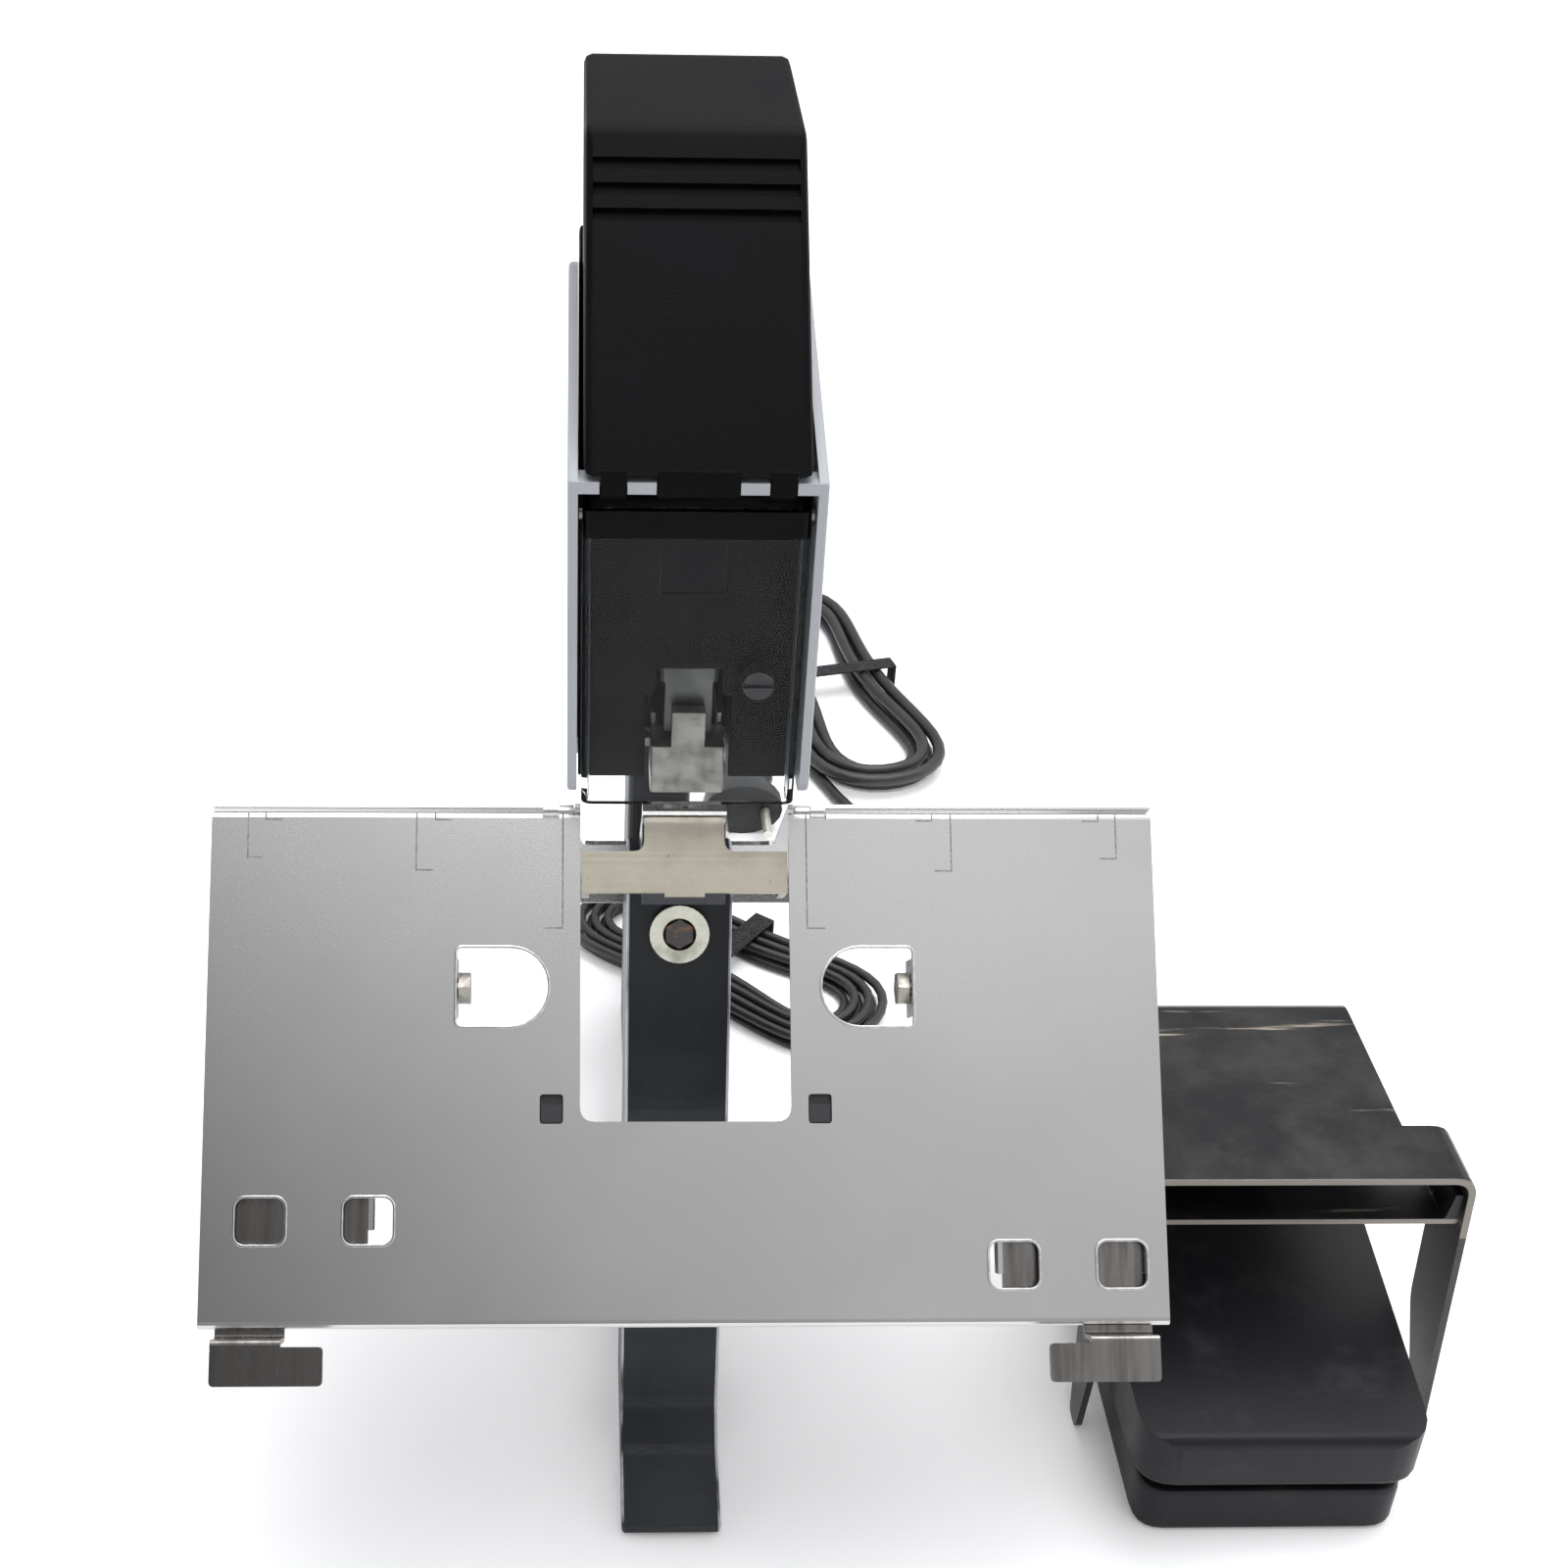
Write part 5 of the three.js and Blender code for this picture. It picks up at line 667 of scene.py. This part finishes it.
def wire_curve(name, points, diameter, roundness):
    curve = bpy.data.curves.new(name, "CURVE")
    curve.dimensions = "3D"
    curve.bevel_depth = diameter / 2
    curve.bevel_resolution = roundness
    curve.use_fill_caps = True
    spline = curve.splines.new("POLY")
    spline.points.add(len(points) - 1)
    for knot, point in zip(spline.points, points):
        knot.co = (*point, 1)
    piece = bpy.data.objects.new(name, curve)
    bpy.context.collection.objects.link(piece)
    return piece


def coil_spring(node, name, axis, wire, turns, seat_high):
    low, high = (Vector(corner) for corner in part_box(node))
    middle = (low + high) / 2
    second, third = (axis + 1) % 3, (axis + 2) % 3
    radius = (high[second] - low[second] - wire) / 2
    free_turns = turns - 2 * CLOSED_TURNS
    pitch = ((high - low)[axis] - wire * (1 + 2 * CLOSED_PITCH * CLOSED_TURNS)) / free_turns
    count = round(turns * SPRING_STEPS)
    points = []
    for step in range(count + 1):
        turn = turns * step / count
        free = min(max(turn - CLOSED_TURNS, 0), free_turns)
        point = Vector()
        point[axis] = low[axis] + wire / 2 + free * pitch + (turn - free) * wire * CLOSED_PITCH
        point[second] = middle[second] + radius * math.cos(2 * math.pi * turn)
        point[third] = middle[third] + radius * math.sin(2 * math.pi * turn)
        points.append(point)
    spring = wire_curve(name, points, wire, 2)
    pick(spring)
    bpy.ops.object.convert(target="MESH")
    bpy.ops.object.shade_smooth_by_angle(angle=math.radians(50))
    finish_piece(spring, spring_look, "machine")
    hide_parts(node)
    way = Vector()
    way[axis] = 1
    seat = middle.copy()
    seat[axis] = high[axis] if seat_high else low[axis]
    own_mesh(spring)


coil_spring("pusher_spring", "magazine_spring", 1, 0.0005, 16, True)
coil_spring("return_spring", "plunger_spring", 2, 0.0010, 6.5, False)
coil_spring("pedal_spring", "treadle_spring", 2, 0.0012, 8.5, False)

# Solenoid: enamelled copper wound in rows on a bobbin between two flanges, and lacquered. The
# yoke holds it over the plunger.
WIRE_HALF_PITCH = 0.0004
copper_look = Look("enamelled_copper", (0.5, 0.2, 0.08), 0.3, 0.8)
_, _, height = copper_look.parts(copper_look.place())
# Painted shade and highlight: colour runs from dark in the grooves between rows to bright on each
# crown
rows = copper_look.add("ShaderNodeMath", {"operation": "PINGPONG"},
                       {0: height, 1: WIRE_HALF_PITCH})
copper_look.feed("Base Color", copper_look.mix(rows * (1 / WIRE_HALF_PITCH), (0.2, 0.07, 0.03),
                                               (0.56, 0.24, 0.1)))
copper_look.bump(rows, 0.0004, 0.7)
copper_look.paint("solenoid_coil")

# Control board: green solder mask with copper tracks showing through it, on four pegs inside
# the back of the rear cover.
board_look = Look("solder_mask", (0.02, 0.12, 0.06), 0.35)
tracks = board_look.noise(260, 2, stretch=(1, 1, 0.3)).ramp(0.52, 0.56)
board_look.feed("Base Color", board_look.mix(tracks, (0.018, 0.1, 0.05), (0.05, 0.2, 0.09)))
board_look.feed("Roughness", board_look.noise(300, 3) * 0.2 + 0.28)
board_look.bump(tracks, 0.00008, 0.5)
board_look.paint("control_board")

# Pedal: a plain treadle of dark grey plastic with a soft rounded front edge, hinged at
# the back of a moulded base on a spring.
pedal_look = Look("pedal_plastic", (0.01, 0.0105, 0.012), 0.5, Specular_IOR_Level=0.2)
scuff = pedal_look.noise(60, 6, rough=0.6).ramp(0.5, 0.78)
pedal_look.feed("Base Color", pedal_look.mix(scuff, (0.0085, 0.009, 0.011), (0.024, 0.024, 0.026)))
pedal_look.feed("Roughness", scuff * 0.14 + 0.42)
pedal_look.bump(pedal_look.noise(1300, 3), 0.00018, 0.35)
softened_copy("pedal_treadle", "treadle_moulding", "treadle", 0.0006, pedal_look)
softened_copy("pedal_base", "pedal_tray", "machine", 0.0006, pedal_look)

# Pedal guard: a hood of folded mill steel, blued dark by the mill, its roof scratched and its cut
# edges bare, with a painted highlight on them, brighter along the roof than down the legs. The
# skin wears off down the legs, which end in rounded tips on the floor.
hood_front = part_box("guard_hood")[0][1]
hood_look = Look("blued_hood_steel", (0.05, 0.05, 0.055), 0.42, 0.8)
_, along, height = hood_look.parts(hood_look.place())
blotch = hood_look.noise(45, 6, rough=0.65)
worn_tip = (height * -1 + 0.012 + (blotch - 0.5) * 0.02).ramp(0, 0.03)
on_roof = height > 0.08
# Painted highlight: the front cut edges, strong on the roof and faint down the legs, and a thin
# line on the shelf's front edge
edge_highlight = (along < hood_front + 0.0004) * (on_roof * 0.8 + 0.2)
shelf_edge_highlight = (along < -0.0205) * (height < 0.0858) * (height > 0.0835)
bare_and_highlight = worn_tip.most(edge_highlight.most(shelf_edge_highlight))
scrape = hood_look.noise(34, 5, stretch=(0.25, 5, 5), rough=0.6).ramp(0.62, 0.7)
dark = hood_look.mix(blotch.ramp(0.35, 0.7), (0.012, 0.012, 0.0135), (0.035, 0.034, 0.034))
scraped = hood_look.mix(scrape * on_roof * 0.8, dark, (0.42, 0.36, 0.29))
hood_look.feed("Base Color", hood_look.mix(bare_and_highlight, scraped, (0.2, 0.185, 0.165)))
hood_look.feed("Metallic", bare_and_highlight * 0.3 + 0.65)
hood_look.feed("Roughness", blotch * 0.2 + 0.3)
hood_look.bump(hood_look.noise(700, 3), 0.00015, 0.4)
hood_look.paint("guard_hood", "guard_shelf")

# Strain reliefs: soft black rubber, ribbed so that the cord bends gently where it leaves the
# post.
relief_look = Look("relief_rubber", (0.02, 0.02, 0.021), 0.7)
powder = relief_look.noise(150, 4).ramp(0.4, 0.8)
relief_look.feed("Base Color", relief_look.mix(powder, (0.016, 0.016, 0.017),
                                               (0.038, 0.037, 0.036)))
relief_look.feed("Roughness", powder * 0.12 + 0.62)
relief_look.bump(relief_look.noise(1500, 2), 0.0001, 0.3)
relief_look.paint("mains_gland", "pedal_gland")

# Mains cord and pedal cord: round black PVC leads. Each is put away in a flat hank like a
# peanut, wound in on the floor and out again on top. A hank is measured in diameters of cord.
LOOP_STEPS = 48
LOOP_START = math.radians(40)
HALF_LENGTH, HALF_LENGTH_STEP = 14.2, 1.46
HALF_WAIST, HALF_WAIST_STEP = 2.2, 1.39
LOBE, LOBE_STEP = 5.15, 0.43
CLIMB_TURNS = 0.5
LAYER_HEIGHT = 1.12


def hank_points(diameter, half_turns, middle, heading, side):
    turns = 2 * half_turns + (math.pi - 2 * LOOP_START) / (2 * math.pi)
    count = round(turns * LOOP_STEPS)
    way = Vector((math.cos(heading), math.sin(heading), 0))
    across = Vector((-way.y, way.x, 0)) * side
    points = []
    for step in range(count + 1):
        turn = turns * step / count
        layer = abs(half_turns - turn)
        angle = LOOP_START + 2 * math.pi * turn
        along = (HALF_LENGTH + layer * HALF_LENGTH_STEP) * math.cos(angle)
        lobe = LOBE + layer * LOBE_STEP
        waist = HALF_WAIST + layer * HALF_WAIST_STEP
        wide = math.sin(angle) * (waist + lobe * math.cos(angle) ** 2)
        climb = min(max((turn - half_turns + CLIMB_TURNS / 2) / CLIMB_TURNS, 0), 1)
        rise = 0.5 + climb * climb * (3 - 2 * climb) * LAYER_HEIGHT
        place = Vector((*middle, 0)) + diameter * (way * along + across * wide)
        points.append(place + Vector((0, 0, diameter * rise)))
    return points


def straight_on(points, distance):
    way = (points[-1] - points[-2]).normalized()
    return points[-1] + way * distance


def smooth_curve(points, per_span=6):
    # A centripetal Catmull-Rom curve through the points
    ends = [points[0] * 2 - points[1], *points, points[-1] * 2 - points[-2]]
    line = []
    for p0, p1, p2, p3 in zip(ends, ends[1:], ends[2:], ends[3:]):
        t1 = max((p1 - p0).length, 1e-6) ** 0.5
        t2 = t1 + max((p2 - p1).length, 1e-6) ** 0.5
        t3 = t2 + max((p3 - p2).length, 1e-6) ** 0.5
        for step in range(per_span):
            t = t1 + (t2 - t1) * step / per_span
            a1 = p0.lerp(p1, t / t1)
            a2 = p1.lerp(p2, (t - t1) / (t2 - t1))
            a3 = p2.lerp(p3, (t - t2) / (t3 - t2))
            b1 = a1.lerp(a2, t / t2)
            b2 = a2.lerp(a3, (t - t1) / (t3 - t1))
            line.append(b1.lerp(b2, (t - t1) / (t2 - t1)))
    return [*line, points[-1]]


def millimetres(*places):
    return [Vector(place) / 1000 for place in places]


cord_look = Look("black_sheath", (0.018, 0.018, 0.019), 0.4)
polish = cord_look.noise(60, 3).ramp(0.2, 0.8)
cord_look.feed("Base Color", cord_look.mix(polish, (0.013, 0.013, 0.014), (0.026, 0.026, 0.027)))
cord_look.feed("Roughness", polish * 0.16 + 0.34)
cord_look.bump(cord_look.noise(900, 2), 0.0001, 0.25)


def cord_piece(name, points, diameter, stem):
    cord = wire_curve(name, points, diameter, 4)
    finish_piece(cord, cord_look, "machine")
    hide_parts(f"{stem}_cord_run", f"{stem}_cord_hank", f"{stem}_cord_tail")
    return cord, sum((b - a).length for a, b in zip(points, points[1:]))


strap_look = Look("hook_and_loop", (0.02, 0.02, 0.021), 0.85, Specular_IOR_Level=0.2)
fuzz = strap_look.noise(1100, 4)
strap_look.feed("Base Color", strap_look.mix(fuzz.ramp(0.3, 0.7), (0.012, 0.012, 0.013),
                                             (0.04, 0.04, 0.042)))
strap_look.bump(fuzz, 0.0003, 0.8)
mains_strap = softened_copy("mains_cord_tie", "mains_strap", "machine", 0.0004,
                            strap_look)
pedal_strap = softened_copy("pedal_cord_tie", "pedal_strap", "machine", 0.0004,
                            strap_look)

# Plug: black moulding on the end of the mains cord, with a waist for the fingers and two round
# pins of plated brass.
PIN_LENGTH = 0.0178
plug_look = Look("plug_moulding", (0.02, 0.02, 0.021), 0.45)
_, along, _ = plug_look.parts(plug_look.place())
pin_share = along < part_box("mains_plug")[0][1] + PIN_LENGTH
gloss = plug_look.noise(400, 3).ramp(0.3, 0.7)
plug_look.feed("Base Color", plug_look.mix(pin_share, plug_look.mix(
    gloss, (0.014, 0.014, 0.015), (0.03, 0.03, 0.031)), (0.68, 0.66, 0.6)))
plug_look.feed("Metallic", pin_share * 1.0)
plug_look.feed("Roughness", gloss * 0.14 + 0.36)
plug_look.bump(plug_look.noise(1300, 2), 0.0001, 0.3)
plug = softened_copy("mains_plug", "plug", "machine", 0.0004, plug_look, 2, 40)

MAINS_DIAMETER = 0.0055
mains_hank = hank_points(MAINS_DIAMETER, 2, (0.092, 0.427), math.radians(-76), -1)
mains_route = smooth_curve([
    *millimetres((0, 216.6, 34), (0, 228.3, 33), (6, 258.3, 18), (22, 280.3, 6),
                 (50, 286.3, 3.05), (80, 294.3, 3.05), (95, 309.3, 3.05)),
    straight_on(mains_hank[::-1], 0.018),
    straight_on(mains_hank[::-1], 0.0003),
])[:-1] + mains_hank + smooth_curve([
    straight_on(mains_hank, 0.0003),
    straight_on(mains_hank, 0.008),
    *millimetres((37, 517, 6.05), (19, 527, 3.05), (1, 514, 3.05), (-5, 488, 3.05),
                 (0, 450, 3.05), (12, 420, 3.05), (29, 393, 5), (44, 364, 12.24),
                 (44, 350.3, 12.24)),
])[1:]
mains_cord, mains_length = cord_piece("mains_cord", mains_route, MAINS_DIAMETER, "mains")

PEDAL_DIAMETER = 0.0037
pedal_hank = hank_points(PEDAL_DIAMETER, 3, (0.031, 0.210), math.radians(-38), -1)
pedal_route = smooth_curve([
    *millimetres((175, 72.3, 8), (175, 80.3, 7), (169, 98, 3.15), (150, 122, 2.15),
                 (118, 134, 2.15), (92, 142, 2.15)),
    straight_on(pedal_hank[::-1], 0.009),
    straight_on(pedal_hank[::-1], 0.0003),
])[:-1] + pedal_hank + smooth_curve([
    straight_on(pedal_hank, 0.0003),
    straight_on(pedal_hank, 0.0037),
    *millimetres((-44, 244, 5), (-48, 264, 4.5), (-30, 281, 6.5), (-9, 268, 12),
                 (1, 242, 16), (0, 220.3, 17), (0, 206.6, 17)),
])[1:]
pedal_cord, pedal_length = cord_piece("pedal_cord", pedal_route, PEDAL_DIAMETER, "pedal")

bpy.context.view_layer.update()
